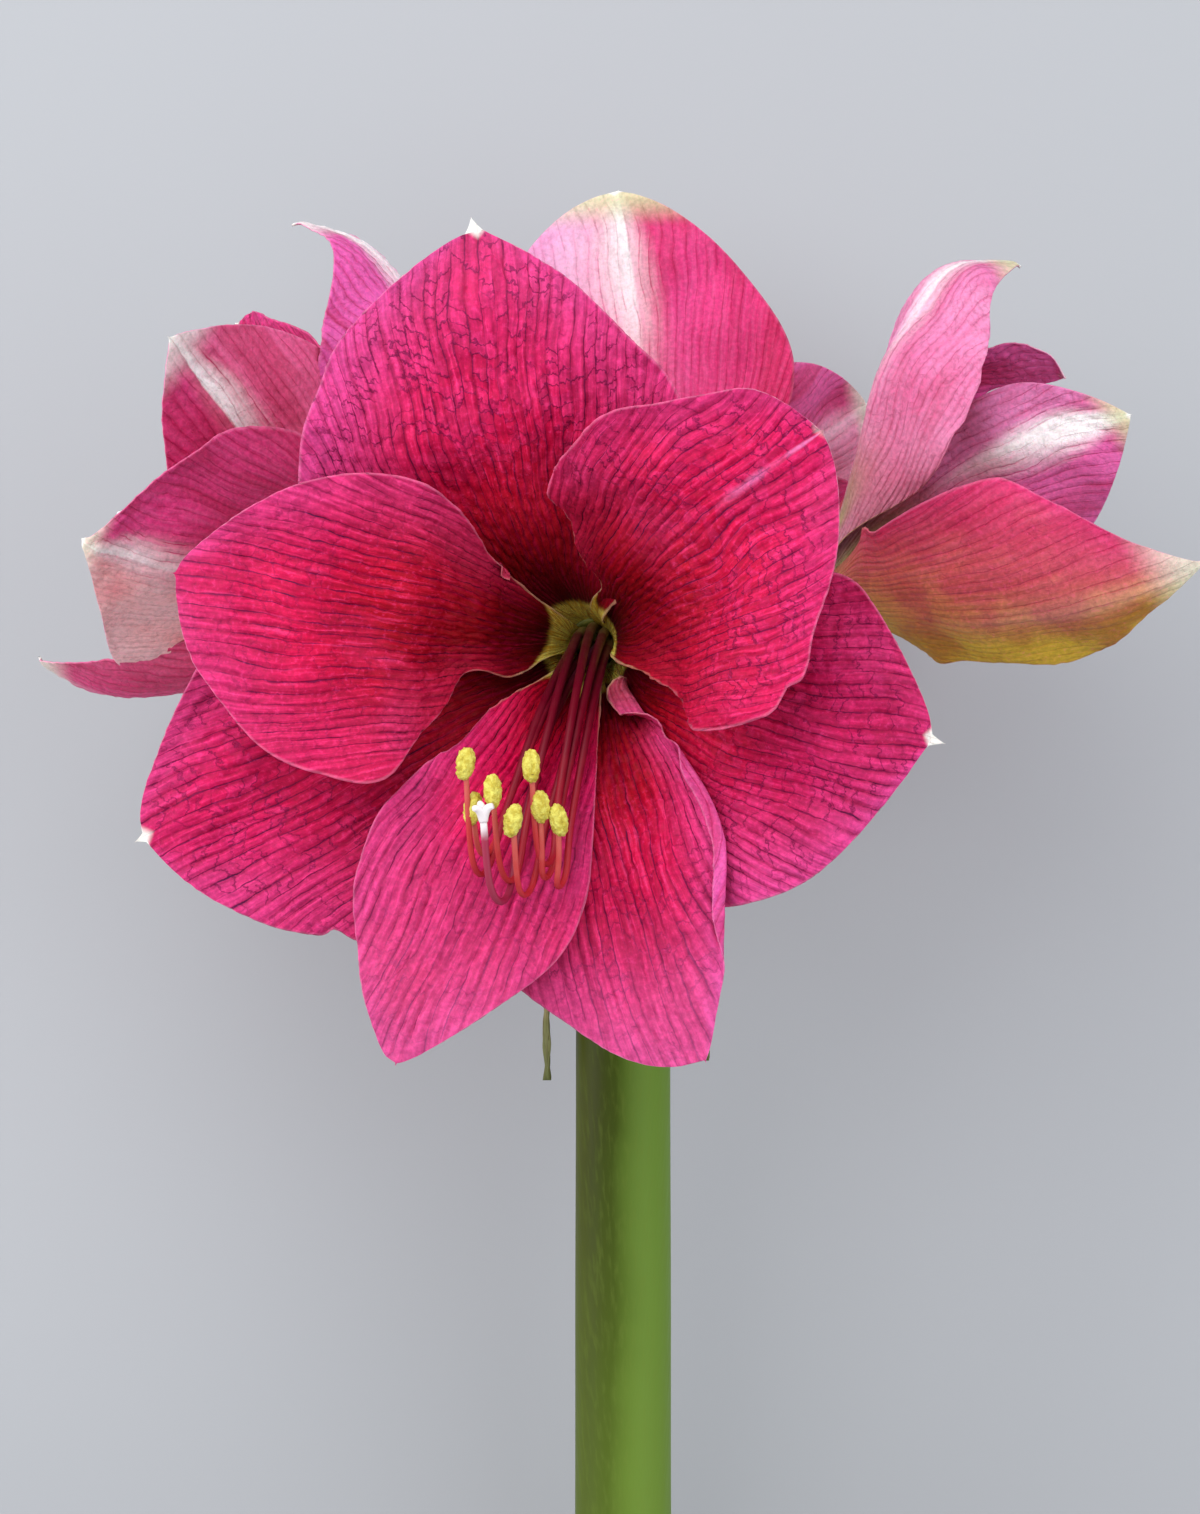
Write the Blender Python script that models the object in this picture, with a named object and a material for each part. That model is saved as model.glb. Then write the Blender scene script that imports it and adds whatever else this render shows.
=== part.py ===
"""Amaryllis: one cut flower stalk, laid down on a surface.

A hollow scape carries four blooms on short pedicels. Each bloom is a cup of broad tepals with
its bundle of stamens and a style. The stalk lies on its cut end and on two tepals of the rear
bloom, so the front bloom looks up.

The stalk is laid out upright first: Z runs up the scape, the front bloom looks along -Y, and
the umbel, where the pedicels start, is the origin. One empty then lays it down.
"""
import math

import bmesh
import bpy
import numpy as np
from mathutils import Matrix, Vector

MM = 0.001
DEG = math.pi / 180
CLEARANCE = 0.3 * MM

# Lay of the cut stalk on the surface
SCAPE_LENGTH = 360 * MM
LIE_SLOPE = 14.2 * DEG
UMBEL_X = 5.1 * MM
UMBEL_Y = 98.2 * MM
FLAT_SPOT_BLEND = 1.2 * MM

# Scape: a hollow green tube with a solid head
SCAPE_RADIUS = 12.3 * MM
SCAPE_TOP_RADIUS = 11.6 * MM
HEAD_RADIUS = 13.0 * MM
HEAD_HEIGHT = 7.0 * MM
BORE_RADIUS = 7.2 * MM
BORE_STOPS_BELOW_UMBEL = 22 * MM
SCAPE_SIDES = 24

# Pedicels and ovaries
PEDICEL_RADIUS = 3.9 * MM
OVARY_RADIUS = 6.0 * MM
OVARY_LENGTH = 17 * MM
PEDICEL_START = 3.5 * MM
PEDICEL_SIDES = 10

# Perianth: the short tube and the tepals that grow from it
TUBE_HEIGHT = 17 * MM
TUBE_FOOT_RADIUS = 5.2 * MM
TUBE_MOUTH_RADIUS = 6.9 * MM
TUBE_WALL = 1.5 * MM
TUBE_FLOOR = 1.5 * MM
TUBE_SIDES = 18
TEPAL_THICKNESS = 0.8 * MM
INNER_ROOT = (5.0, 14.0)
OUTER_ROOT = (6.1, 14.0)
ROOT_BREADTH = 3.4
CUP_SETTLES_AT = 0.45
OUTLINE_POWER = 6
FOLD_SOFTNESS = 3.0

# Stamens and style
FILAMENT_RADIUS = 0.8 * MM
FILAMENT_SIDES = 5
ANTHER_LENGTH = 7.6 * MM
ANTHER_RADIUS = 2.2 * MM
BUNDLE_RADIUS = 2.6 * MM
PLUG_RADIUS = 3.4 * MM
PLUG_HEIGHT = 2.0 * MM
STYLE_RADIUS = 0.8 * MM
STYLE_GAP = 80 * DEG
STIGMA_RADIUS = 1.9 * MM
FILAMENT_STATIONS = 12
STYLE_STATIONS = 14
OVARY_STATIONS = 13

# Spathe valves: the two withered bracts at the head of the scape
VALVE_THICKNESS = 0.7 * MM
VALVE_RING_RADIUS = 13.8 * MM


def clear_scene():
    """Remove every object of the open file."""
    for old in list(bpy.data.objects):
        bpy.data.objects.remove(old, do_unlink=True)


def make_material(name, colour, roughness):
    """One Principled material with a plain colour."""
    material = bpy.data.materials.new(name)
    material.use_nodes = True
    shader = material.node_tree.nodes["Principled BSDF"]
    shader.inputs["Base Color"].default_value = (*colour, 1.0)
    shader.inputs["Roughness"].default_value = roughness
    shader.inputs["Metallic"].default_value = 0.0
    return material


def bezier(points, t):
    """Cubic Bezier through rows of t."""
    a, b, c, d = (np.asarray(p, float) for p in points)
    t = np.asarray(t, float)[..., None]
    return (1 - t)**3 * a + 3 * (1 - t)**2 * t * b + 3 * (1 - t) * t**2 * c + t**3 * d


def through_stations(values, s):
    """Smooth curve through evenly spaced values, read at s from 0 to 1."""
    values = np.asarray(values, float)
    last = len(values) - 1
    x = np.clip(np.asarray(s, float) * last, 0, last - 1e-9)
    i = x.astype(int)
    f = x - i
    padded = np.concatenate([[2 * values[0] - values[1]], values, [2 * values[-1] - values[-2]]])
    a, b, c, d = padded[i], padded[i + 1], padded[i + 2], padded[i + 3]
    return b + 0.5 * f * (c - a + f * (2 * a - 5 * b + 4 * c - d + f * (3 * (b - c) + d - a)))


def unit(vector):
    """The vector at length 1."""
    vector = np.asarray(vector, float)
    return vector / np.linalg.norm(vector)


class Tepal:
    """One tepal, in millimetres, in its bloom's frame.

    The midrib is a Bezier in the plane of the axis, from root over belly and crest to tip, each
    as (distance from the axis, height along it). left and right are the half breadths at even
    stations along it, as seen looking from the throat to the tip. cup is the curvature across,
    at mid length and at the tip, point how blunt each side ends, bow how far the blade bends to
    its side, and fold how much it is keeled.
    """

    def __init__(self, clock, root, belly, crest, tip, left, right,
                 cup=(0.012, 0.004), point=(0.7, 0.7), bow=0.0, fold=0.0):
        self.clock = clock * DEG
        self.rib = (root, belly, crest, tip)
        self.breadths = (left, right)
        self.cup = cup
        self.point = point
        self.bow = bow
        self.fold = fold

    def half_breadth(self, s, side):
        """Breadth of one side of the midrib at s."""
        full = through_stations([ROOT_BREADTH, *self.breadths[side]], s)
        return full * np.maximum(1 - s**OUTLINE_POWER, 0)**self.point[side]

    def surface(self, s, v):
        """Points at s along the midrib and v across, from -1 at the left margin to 1."""
        rib = bezier(self.rib, s)
        step = 1e-4
        ahead = bezier(self.rib, np.clip(s + step, 0, 1)) - bezier(self.rib, np.clip(s - step, 0, 1))
        ahead /= np.linalg.norm(ahead, axis=-1, keepdims=True)
        across = v * np.where(v < 0, self.half_breadth(s, 0), self.half_breadth(s, 1))
        settled = np.clip(s / CUP_SETTLES_AT, 0, 1)
        settled = settled * settled * (3 - 2 * settled)
        late = np.clip((s - CUP_SETTLES_AT) / (1 - CUP_SETTLES_AT), 0, 1)
        root_curvature = 1 / self.rib[0][0]
        blade_curvature = self.cup[0] * (1 - late) + self.cup[1] * late
        curvature = root_curvature * (1 - settled) + settled * blade_curvature
        curvature = np.where(np.abs(curvature) < 1e-5, 1e-5, curvature)
        side = np.sin(curvature * across) / curvature + self.bow * np.sin(math.pi * s)
        lift = (1 - np.cos(curvature * across)) / curvature
        lift = lift + self.fold * settled * (np.sqrt(across**2 + FOLD_SOFTNESS**2) - FOLD_SOFTNESS)
        reach = rib[..., 0] - ahead[..., 1] * lift
        height = rib[..., 1] + ahead[..., 0] * lift
        cos, sin = math.cos(self.clock), math.sin(self.clock)
        return np.stack([reach * cos + side * sin, reach * sin - side * cos, height], axis=-1)


class Bloom:
    """Where one bloom sits: the top of its ovary, the way it looks, and its tepals."""

    def __init__(self, base, axis, tepals):
        self.base = np.asarray(base, float)
        self.axis = unit(axis)
        upright = np.array((0.0, 0.0, 1.0))
        self.up = unit(upright - self.axis * np.dot(upright, self.axis))
        self.side = np.cross(self.up, self.axis)
        self.tepals = tepals

    def place(self, points):
        """Points of the bloom's frame, in the upright frame."""
        points = np.asarray(points, float)
        return (self.base + points[..., :1] * self.side + points[..., 1:2] * self.up
                + points[..., 2:] * self.axis)


FRONT = Bloom((-4.5, -34, 28.7), (-0.17, -0.985, 0.0), [
    Tepal(101.5, OUTER_ROOT, (13, 39), (45, 80), (95, 66),
          (9.1, 15.9, 24.2, 33.3, 41.7, 47.6, 47.9, 46.5, 45, 34),
          (9.1, 15.8, 24.1, 33.2, 41.6, 47.1, 46.4, 42.1, 41.7, 43.4),
          (0.006, -0.004), (0.55, 0.94), -6),
    Tepal(170, INNER_ROOT, (10, 48), (36, 92), (87, 78),
          (3.6, 6.4, 11.4, 11, 24.7, 41.1, 43.3, 43.5, 40.5, 42.4),
          (5.4, 7.9, 11.1, 16.1, 24.9, 31.2, 32.1, 29.7, 24.1, 14.3),
          (0.018, 0.002), (0.61, 0.43)),
    Tepal(36, INNER_ROOT, (10, 48), (36, 92), (77, 80),
          (5.7, 6.6, 7.2, 21.5, 30.8, 33.4, 35.2, 32.1, 35.4, 52.6),
          (6.7, 11, 17.1, 25.4, 41.5, 49.4, 52.4, 42, 35.7, 27.6),
          (0.022, 0.004), (0.76, 0.54), -1),
    Tepal(-15, OUTER_ROOT, (13, 39), (45, 78), (88, 66),
          (7.4, 11.9, 17.1, 22.6, 27.7, 32, 35, 36.8, 30, 20),
          (9.8, 17.2, 26.2, 35.6, 43.6, 49.1, 51.9, 54.4, 57.6, 57.7),
          (0.004, -0.003), (0.53, 0.91), 3),
    Tepal(-110, INNER_ROOT, (10, 46), (40, 90), (102, 76),
          (5.5, 7.7, 10.2, 13.4, 17.6, 22.8, 28.3, 30.1, 25.1, 17.6),
          (4.8, 6.7, 9.8, 14.9, 18.4, 24.2, 27.2, 26.9, 21.5, 11.5),
          (0.008, -0.004), (0.67, 0.35), -3),
    Tepal(-70, OUTER_ROOT, (12, 40), (44, 80), (101, 68),
          (4.8, 6.3, 8.3, 11.1, 16.5, 20.7, 22.8, 20.2, 17.2, 15.7),
          (8, 13.4, 20.1, 27.7, 35.1, 40.7, 43, 40.2, 35, 31.1),
          (0.008, -0.004), (0.79, 0.4)),
    Tepal(205, OUTER_ROOT, (13, 39), (45, 80), (107, 64),
          (9.8, 17.4, 26.9, 37.4, 47.1, 54, 55.8, 50.5, 50.4, 49.7),
          (8.8, 14.9, 22.1, 29.4, 35.7, 39.6, 40.2, 37.2, 29.7, 19.2),
          (0.002, -0.003), (0.66, 0.39)),
])
LEFT = Bloom((-24, 10, 28), (-0.815, 0.10, 0.57), [
    Tepal(85, OUTER_ROOT, (12, 41), (81, 62), (57, 111), (13, 21, 25, 24, 19), (17, 31, 39, 37, 21),
          (0.04, 0.014), (0.73, 0.79), -5.3, 0.18),
    Tepal(14, INNER_ROOT, (11, 43), (33, 83), (71, 105), (13, 26, 35, 30, 15), (12, 23, 28, 23, 15),
          (0.009, 0.008), (0.6, 0.7), 6.2, 0.08),
    Tepal(-28, OUTER_ROOT, (16, 58), (70, 77), (75, 96), (17, 35, 41, 35, 21), (16, 32, 42, 24, 8),
          (0.004, -0.005), (1.03, 0.79), 3.5, 0.25),
    Tepal(-85, INNER_ROOT, (12, 50), (76, 58), (73, 102), (13, 22, 27, 28, 30), (13, 20, 24, 25, 26),
          (0.019, 0.017), (0.61, 0.65), 6.1, 0.09),
    Tepal(-132, OUTER_ROOT, (13, 39), (36, 84), (66, 88), (9, 27, 34, 30, 18), (9, 27, 34, 30, 18),
          (0.02, 0.01)),
    Tepal(151, INNER_ROOT, (12, 46), (28, 104), (52, 120), (12, 22, 27, 25, 19), (13, 25, 31, 21, 16),
          (0.02, 0.015), (0.7, 0.68), 1.6, 0.13),
])
RIGHT = Bloom((34.7, 10, 31.6), (0.83, 0.05, 0.557), [
    Tepal(112, OUTER_ROOT, (11, 39), (84, 69), (46, 105), (4, 24, 30, 30, 25), (11, 19, 20, 25, 13),
          (0.018, 0.028), (0.86, 0.7), -11.9, 0.19),
    Tepal(53, INNER_ROOT, (13, 44), (41, 73), (16, 104), (10, 17, 19, 17, 25), (12, 18, 16, 7, 12),
          (0.034, 0.015), (0.35, 0.65), -10.5),
    Tepal(184, INNER_ROOT, (13, 42), (38, 76), (47, 101), (12, 25, 35, 27, 14), (10, 15, 15, 18, 15),
          (0.022, 0.015), (0.77, 0.76), 9.6, 0.09),
    Tepal(213, OUTER_ROOT, (13, 26), (74, 28), (77, 93), (16, 17, 17, 26, 12), (17, 25, 36, 41, 30),
          (-0.013, 0.028), (0.97, 1.03), 6.1, 0.28),
    Tepal(-49, INNER_ROOT, (12, 42), (34, 80), (21, 90), (10, 18, 22, 21, 17), (10, 18, 22, 21, 17),
          (0.03, 0.03)),
    Tepal(-4, OUTER_ROOT, (13, 39), (42, 78), (40, 106), (8, 22, 28, 24, 15), (8, 22, 28, 24, 15),
          (0.03, 0.025)),
])
REAR = Bloom((3, 22, 30), (0.05, 0.76, 0.645), [
    Tepal(86, OUTER_ROOT, (11, 38), (52, 77), (78, 93), (16, 33, 41, 33, 24), (15, 29, 39, 38, 28),
          (0.008, 0.004), (0.57, 0.52), -3.7, 0.04),
    Tepal(171, INNER_ROOT, (11, 43), (44, 83), (60, 93), (12, 23, 29, 28, 23), (13, 23, 30, 29, 22),
          (0.011, 0.003), (0.7, 0.83), -0.8),
    Tepal(20, INNER_ROOT, (11, 44), (38, 86), (64, 88), (9, 26, 34, 30, 20), (9, 26, 34, 30, 20),
          (0.012, 0.004)),
    Tepal(218, OUTER_ROOT, (13, 39), (42, 84), (79, 87), (9, 26, 34, 30, 20), (9, 26, 34, 30, 20),
          (0.012, 0.004)),
    Tepal(268, INNER_ROOT, (11, 44), (34, 80), (53, 72), (9, 26, 34, 30, 20), (9, 26, 34, 30, 20),
          (0.012, 0.004)),
    Tepal(-33, OUTER_ROOT, (13, 39), (42, 84), (78, 86), (9, 26, 34, 30, 20), (9, 26, 34, 30, 20),
          (0.012, 0.004)),
])
BLOOMS = {"front": FRONT, "left": LEFT, "right": RIGHT, "rear": REAR}
TEPAL_CELLS = {"front": (12, 6), "left": (8, 5), "right": (8, 5), "rear": (8, 5)}
TEPAL_UNION = {"front": "EXACT", "left": "MANIFOLD", "right": "MANIFOLD", "rear": "MANIFOLD"}

# Hooked ends of the front bloom's stamens: bottom of the hook and the anther's middle
FRONT_HOOKS = [
    ((-22.0, -122.5, -32.0), (-25.0, -129.0, -12.0)),
    ((-12.5, -117.5, -29.0), (-15.0, -124.0, -12.0)),
    ((-16.5, -118.0, -31.0), (-19.0, -124.5, -9.0)),
    ((-18.0, -120.0, -24.5), (-21.0, -126.5, 0.0)),
    ((-25.5, -121.0, -28.5), (-29.5, -128.0, -5.5)),
    ((-31.5, -122.0, -26.0), (-35.5, -127.0, 0.5)),
    ((-29.0, -119.0, -30.0), (-34.0, -124.0, -9.5)),
]
FRONT_STYLE_HOOK = ((-26.5, -124.0, -34.0), (-31.5, -131.0, -11.5))
SIDE_STAMENS = 6
SIDE_SPACING = 4.2
SIDE_STAGGER = 5.0
SIDE_DROOP = {"left": 36.0, "right": 15.0, "rear": 30.0}
SIDE_REACH = {"left": 90.0, "right": 88.0, "rear": 86.0}


def bloom_frame(bloom):
    """The bloom's frame as a matrix in metres."""
    frame = Matrix.Identity(4)
    for column, direction in enumerate((bloom.side, bloom.up, bloom.axis)):
        frame.col[column][:3] = direction
    frame.translation = Vector(bloom.base) * MM
    return frame


def lay_matrix():
    """Turn and drop that lay the upright stalk on the surface."""
    turn = Matrix.Rotation(LIE_SLOPE - math.pi / 2, 4, "X")
    low_edge = SCAPE_RADIUS * math.cos(LIE_SLOPE) * math.cos(math.pi / SCAPE_SIDES)
    height = low_edge + SCAPE_LENGTH * math.sin(LIE_SLOPE)
    return Matrix.Translation((UMBEL_X, UMBEL_Y, height)) @ turn


def settle_on_surface(points, half_thickness):
    """Bend a blade's middle surface up where it would sink in, and say where it then lies flat.

    The points are in metres in the upright frame. The second result is 1 where the blade lies
    flat on the surface and 0 where it is clear of it.
    """
    lay = np.array(lay_matrix())
    laid = points @ lay[:3, :3].T + lay[:3, 3]
    depth = laid[..., 2] - half_thickness
    blend = FLAT_SPOT_BLEND
    eased = (np.maximum(depth + blend, 0))**2 / (4 * blend)
    flat = np.clip((blend - depth) / (2 * blend), 0, 1)
    laid[..., 2] = half_thickness + np.where(depth > blend, depth, eased)
    return (laid - lay[:3, 3]) @ lay[:3, :3], flat


def new_object(name, mesh, material):
    """An object in the scene with one material."""
    made = bpy.data.objects.new(name, mesh)
    bpy.context.scene.collection.objects.link(made)
    made.data.materials.append(material)
    return made


def mesh_from(bm, name):
    """A mesh with its faces pointing out, made from a bmesh."""
    bmesh.ops.recalc_face_normals(bm, faces=bm.faces)
    mesh = bpy.data.meshes.new(name)
    bm.to_mesh(mesh)
    bm.free()
    mesh.shade_smooth()
    return mesh


def blade(surface, along, across, thickness, name):
    """A thin closed blade over a surface given as points for s and v, settled on the surface."""
    bm = bmesh.new()
    bmesh.ops.create_grid(bm, x_segments=along, y_segments=across, size=1.0)
    grid = np.array([vert.co for vert in bm.verts])
    for vert, point in zip(bm.verts, surface((grid[:, 0] + 1) / 2, grid[:, 1]) * MM):
        vert.co = point
    bmesh.ops.remove_doubles(bm, verts=bm.verts, dist=1e-6)
    middle, flat = settle_on_surface(np.array([vert.co for vert in bm.verts]), thickness / 2)
    number = bm.verts.layers.int.new("number")
    for k, vert in enumerate(bm.verts):
        vert.co = middle[k]
        vert[number] = k
    bmesh.ops.triangulate(bm, faces=bm.faces, quad_method="SHORT_EDGE")
    bmesh.ops.recalc_face_normals(bm, faces=bm.faces)
    bm.normal_update()
    down = Vector(lay_matrix().inverted().to_3x3() @ Vector((0, 0, -1)))
    lean = []
    for k, vert in enumerate(bm.verts):
        straight = down if vert.normal.dot(down) > 0 else -down
        lean.append(vert.normal.lerp(straight, flat[k]).normalized() * thickness / 2)
    near = set(bm.verts)
    bmesh.ops.extrude_face_region(bm, geom=bm.faces, use_keep_orig=True)
    for vert in bm.verts:
        shift = lean[vert[number]]
        vert.co = Vector(middle[vert[number]]) + (shift if vert in near else -shift)
    return mesh_from(bm, name)


def turned(profile, sides, name, frame):
    """A closed solid turned about the frame's Z from (radius, height) points on or off the axis."""
    bm = bmesh.new()
    verts = [bm.verts.new((radius, 0, height)) for radius, height in profile]
    edges = [bm.edges.new(pair) for pair in zip(verts, verts[1:])]
    if profile[0][0] > 0:
        edges.append(bm.edges.new((verts[-1], verts[0])))
    bmesh.ops.spin(bm, geom=verts + edges, cent=(0, 0, 0), axis=(0, 0, 1), angle=2 * math.pi,
                   steps=sides, use_merge=True)
    bmesh.ops.remove_doubles(bm, verts=bm.verts, dist=1e-6)
    bmesh.ops.rotate(bm, verts=bm.verts, cent=(0, 0, 0), matrix=Matrix.Rotation(math.pi / sides, 3, "Z"))
    bmesh.ops.transform(bm, matrix=frame, verts=bm.verts)
    return mesh_from(bm, name)


def smooth_route(points, count):
    """Even steps along a smooth curve through the points."""
    points = np.asarray(points, float)
    s = np.linspace(0, 1, count)
    return np.stack([through_stations(points[:, k], s) for k in range(3)], axis=-1)


def route_frames(route):
    """A frame at each point of a route, turned as little as possible from one to the next."""
    steps = np.gradient(route, axis=0)
    ahead = Vector(steps[0]).normalized()
    turn = ahead.to_track_quat("Z", "Y")
    frames = []
    for point, step in zip(route, steps):
        now = Vector(step).normalized()
        turn = ahead.rotation_difference(now) @ turn
        ahead = now
        frames.append(Matrix.Translation(Vector(point)) @ turn.to_matrix().to_4x4())
    return frames


def rod(route, radii, sides, name):
    """A closed round rod along a route in metres, with a radius at each point."""
    bm = bmesh.new()
    rings = []
    for frame, radius in zip(route_frames(route), radii):
        ring = bmesh.ops.create_circle(bm, segments=sides, radius=radius, matrix=frame)["verts"]
        rings.append(ring)
    for low, high in zip(rings, rings[1:]):
        for k in range(sides):
            bm.faces.new((low[k], low[(k + 1) % sides], high[(k + 1) % sides], high[k]))
    bm.faces.new(reversed(rings[0]))
    bm.faces.new(rings[-1])
    return mesh_from(bm, name)


def join_solids(name, meshes, material, solver="EXACT"):
    """One closed body from overlapping solids, by a Boolean union on their collection."""
    first = new_object(name, meshes[0], material)
    group = bpy.data.collections.new(name + "_parts")
    bpy.context.scene.collection.children.link(group)
    rest = []
    for number, mesh in enumerate(meshes[1:]):
        part = bpy.data.objects.new(f"{name}_{number}", mesh)
        group.objects.link(part)
        rest.append(part)
    union = first.modifiers.new("Union", "BOOLEAN")
    union.operation = "UNION"
    union.operand_type = "COLLECTION"
    union.collection = group
    union.solver = solver
    bpy.context.view_layer.update()
    joined = bpy.data.meshes.new_from_object(first.evaluated_get(bpy.context.evaluated_depsgraph_get()))
    first.modifiers.clear()
    first.data = joined
    for part in rest:
        bpy.data.objects.remove(part, do_unlink=True)
    bpy.data.collections.remove(group)
    joined.materials.clear()
    joined.materials.append(material)
    return first


def ovary_route(bloom):
    """Pedicel and ovary of a bloom: route and radii from inside the head to the tube's foot."""
    foot = bloom.base * MM - bloom.axis * CLEARANCE
    back = foot - bloom.axis * OVARY_LENGTH
    start = unit((foot[0], foot[1], 0.0)) * PEDICEL_START
    rise = start + np.array((0, 0, 5.0 * MM)) + (back - start) * 0.25
    points = [start, rise, back, back + (foot - back) * 0.5, foot]
    s = np.linspace(0, 1, OVARY_STATIONS)
    radii = through_stations([PEDICEL_RADIUS, PEDICEL_RADIUS, PEDICEL_RADIUS * 1.08, OVARY_RADIUS,
                              TUBE_FOOT_RADIUS], s)
    return smooth_route(points, OVARY_STATIONS), radii


def build_stalk(green):
    """Scape, head, pedicels and ovaries, which grew as one piece."""
    wall = [(0, HEAD_HEIGHT), (5.5 * MM, HEAD_HEIGHT * 0.9), (10.5 * MM, HEAD_HEIGHT * 0.5), (HEAD_RADIUS, 0),
            (SCAPE_TOP_RADIUS + 0.5 * MM, -7 * MM), (SCAPE_TOP_RADIUS, -20 * MM),
            (SCAPE_RADIUS * 0.98, -SCAPE_LENGTH / 2), (SCAPE_RADIUS, -SCAPE_LENGTH),
            (BORE_RADIUS, -SCAPE_LENGTH), (BORE_RADIUS, -BORE_STOPS_BELOW_UMBEL - 5 * MM),
            (0, -BORE_STOPS_BELOW_UMBEL)]
    solids = [turned(wall, SCAPE_SIDES, "stalk", Matrix.Identity(4))]
    for bloom in BLOOMS.values():
        route, radii = ovary_route(bloom)
        solids.append(rod(route, radii, PEDICEL_SIDES, "pedicel"))
    return join_solids("stalk", solids, green)


def build_perianth(name, bloom, pink):
    """The short tube of a bloom with its tepals grown together at the root."""
    profile = [(0, 0), (TUBE_FOOT_RADIUS, 0), (TUBE_MOUTH_RADIUS, TUBE_HEIGHT),
               (TUBE_MOUTH_RADIUS - TUBE_WALL, TUBE_HEIGHT), (TUBE_FOOT_RADIUS - TUBE_WALL * 0.8, TUBE_FLOOR),
               (0, TUBE_FLOOR)]
    solids = [turned(profile, TUBE_SIDES, name, bloom_frame(bloom))]
    along, across = TEPAL_CELLS[name]
    for tepal in bloom.tepals:
        def surface(s, v, tepal=tepal):
            return bloom.place(tepal.surface(s, v))
        solids.append(blade(surface, along, across, TEPAL_THICKNESS, name))
    return join_solids("perianth_" + name, solids, pink, TEPAL_UNION[name])


def side_hooks(name):
    """Ends of the stamens of a bloom seen from the side: hook and anther in its own frame."""
    hooks = []
    droop, reach = SIDE_DROOP[name], SIDE_REACH[name]
    for k in range(SIDE_STAMENS):
        swing = ((SIDE_STAMENS - 1) / 2 - k) * SIDE_SPACING
        stagger = SIDE_STAGGER * (k % 2)
        hook = (swing, -droop - 0.75 * stagger, reach - stagger)
        anther = (swing * 1.25, -droop + 12.0 - stagger, reach + 6.0 - stagger)
        hooks.append((hook, anther))
    return hooks


def stamen_route(angle, hook, anther):
    """Route of a filament, in the bloom's frame: out of the tube, over, down and up to its anther."""
    foot = np.array((math.cos(angle), math.sin(angle), 0)) * BUNDLE_RADIUS / MM
    low, high = np.asarray(hook, float), np.asarray(anther, float)
    tube_end = foot * 1.2 + np.array((0, 0, TUBE_HEIGHT / MM + 3))
    bend = tube_end * 0.62 + low * 0.38 + np.array((0, 5.0, 10.0))
    before = tube_end * 0.25 + low * 0.75 + np.array((0, 1.5, 5.0))
    return [foot + np.array((0, 0, TUBE_FLOOR / MM + 0.8)), tube_end, bend, before, low,
            low * 0.45 + high * 0.55 + np.array((0, 0, 2.0)), high]


def in_bloom(bloom, point):
    """A point of the upright frame, in the bloom's frame."""
    offset = np.asarray(point, float) - bloom.base
    return np.array((offset @ bloom.side, offset @ bloom.up, offset @ bloom.axis))


def bloom_hooks(name, bloom):
    """Hook and anther of each stamen, and of the style, in the bloom's frame."""
    if name == "front":
        hooks = [(in_bloom(bloom, hook), in_bloom(bloom, anther)) for hook, anther in FRONT_HOOKS]
        style = tuple(in_bloom(bloom, point) for point in FRONT_STYLE_HOOK)
        return hooks, style
    hooks = side_hooks(name)
    droop, reach = SIDE_DROOP[name], SIDE_REACH[name]
    style = (np.array((0.0, -droop - 6.0, reach + 7.0)), np.array((0.0, -droop + 4.0, reach + 15.0)))
    return hooks, style


def placed_route(bloom, points, count):
    """A route through points of the bloom's frame, in metres of the upright frame."""
    return bloom.place(smooth_route(points, count)) * MM


def build_stamens(name, bloom, red):
    """Filaments grown together at their foot, each with its anther."""
    hooks, _ = bloom_hooks(name, bloom)
    plug_frame = bloom_frame(bloom) @ Matrix.Translation((0, 0, TUBE_FLOOR + CLEARANCE))
    plug = [(0, 0), (PLUG_RADIUS, 0), (PLUG_RADIUS * 0.9, PLUG_HEIGHT), (0, PLUG_HEIGHT)]
    solids = [turned(plug, 12, "plug", plug_frame)]
    for k, (hook, anther) in enumerate(hooks):
        angle = -math.pi / 2 + STYLE_GAP / 2 + (2 * math.pi - STYLE_GAP) * k / (len(hooks) - 1)
        points = stamen_route(angle, hook, anther)
        route = placed_route(bloom, points, FILAMENT_STATIONS)
        radii = np.linspace(FILAMENT_RADIUS, FILAMENT_RADIUS * 0.7, FILAMENT_STATIONS)
        solids.append(rod(route, radii, FILAMENT_SIDES, "filament"))
        solids.append(anther_solid(bloom, anther))
    return join_solids("stamens_" + name, solids, red)


def anther_solid(bloom, middle):
    """An anther: a short bean that stands up on the end of its filament."""
    centre = bloom.place(np.asarray(middle, float)) * MM
    half = ANTHER_LENGTH / 2
    route = np.array([centre + np.array((0, 0, 1.0)) * half * t for t in (-1, -0.6, 0, 0.6, 1)])
    radii = ANTHER_RADIUS * np.array((0.45, 0.9, 1.0, 0.9, 0.45))
    return rod(route, radii, 6, "anther")


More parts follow.
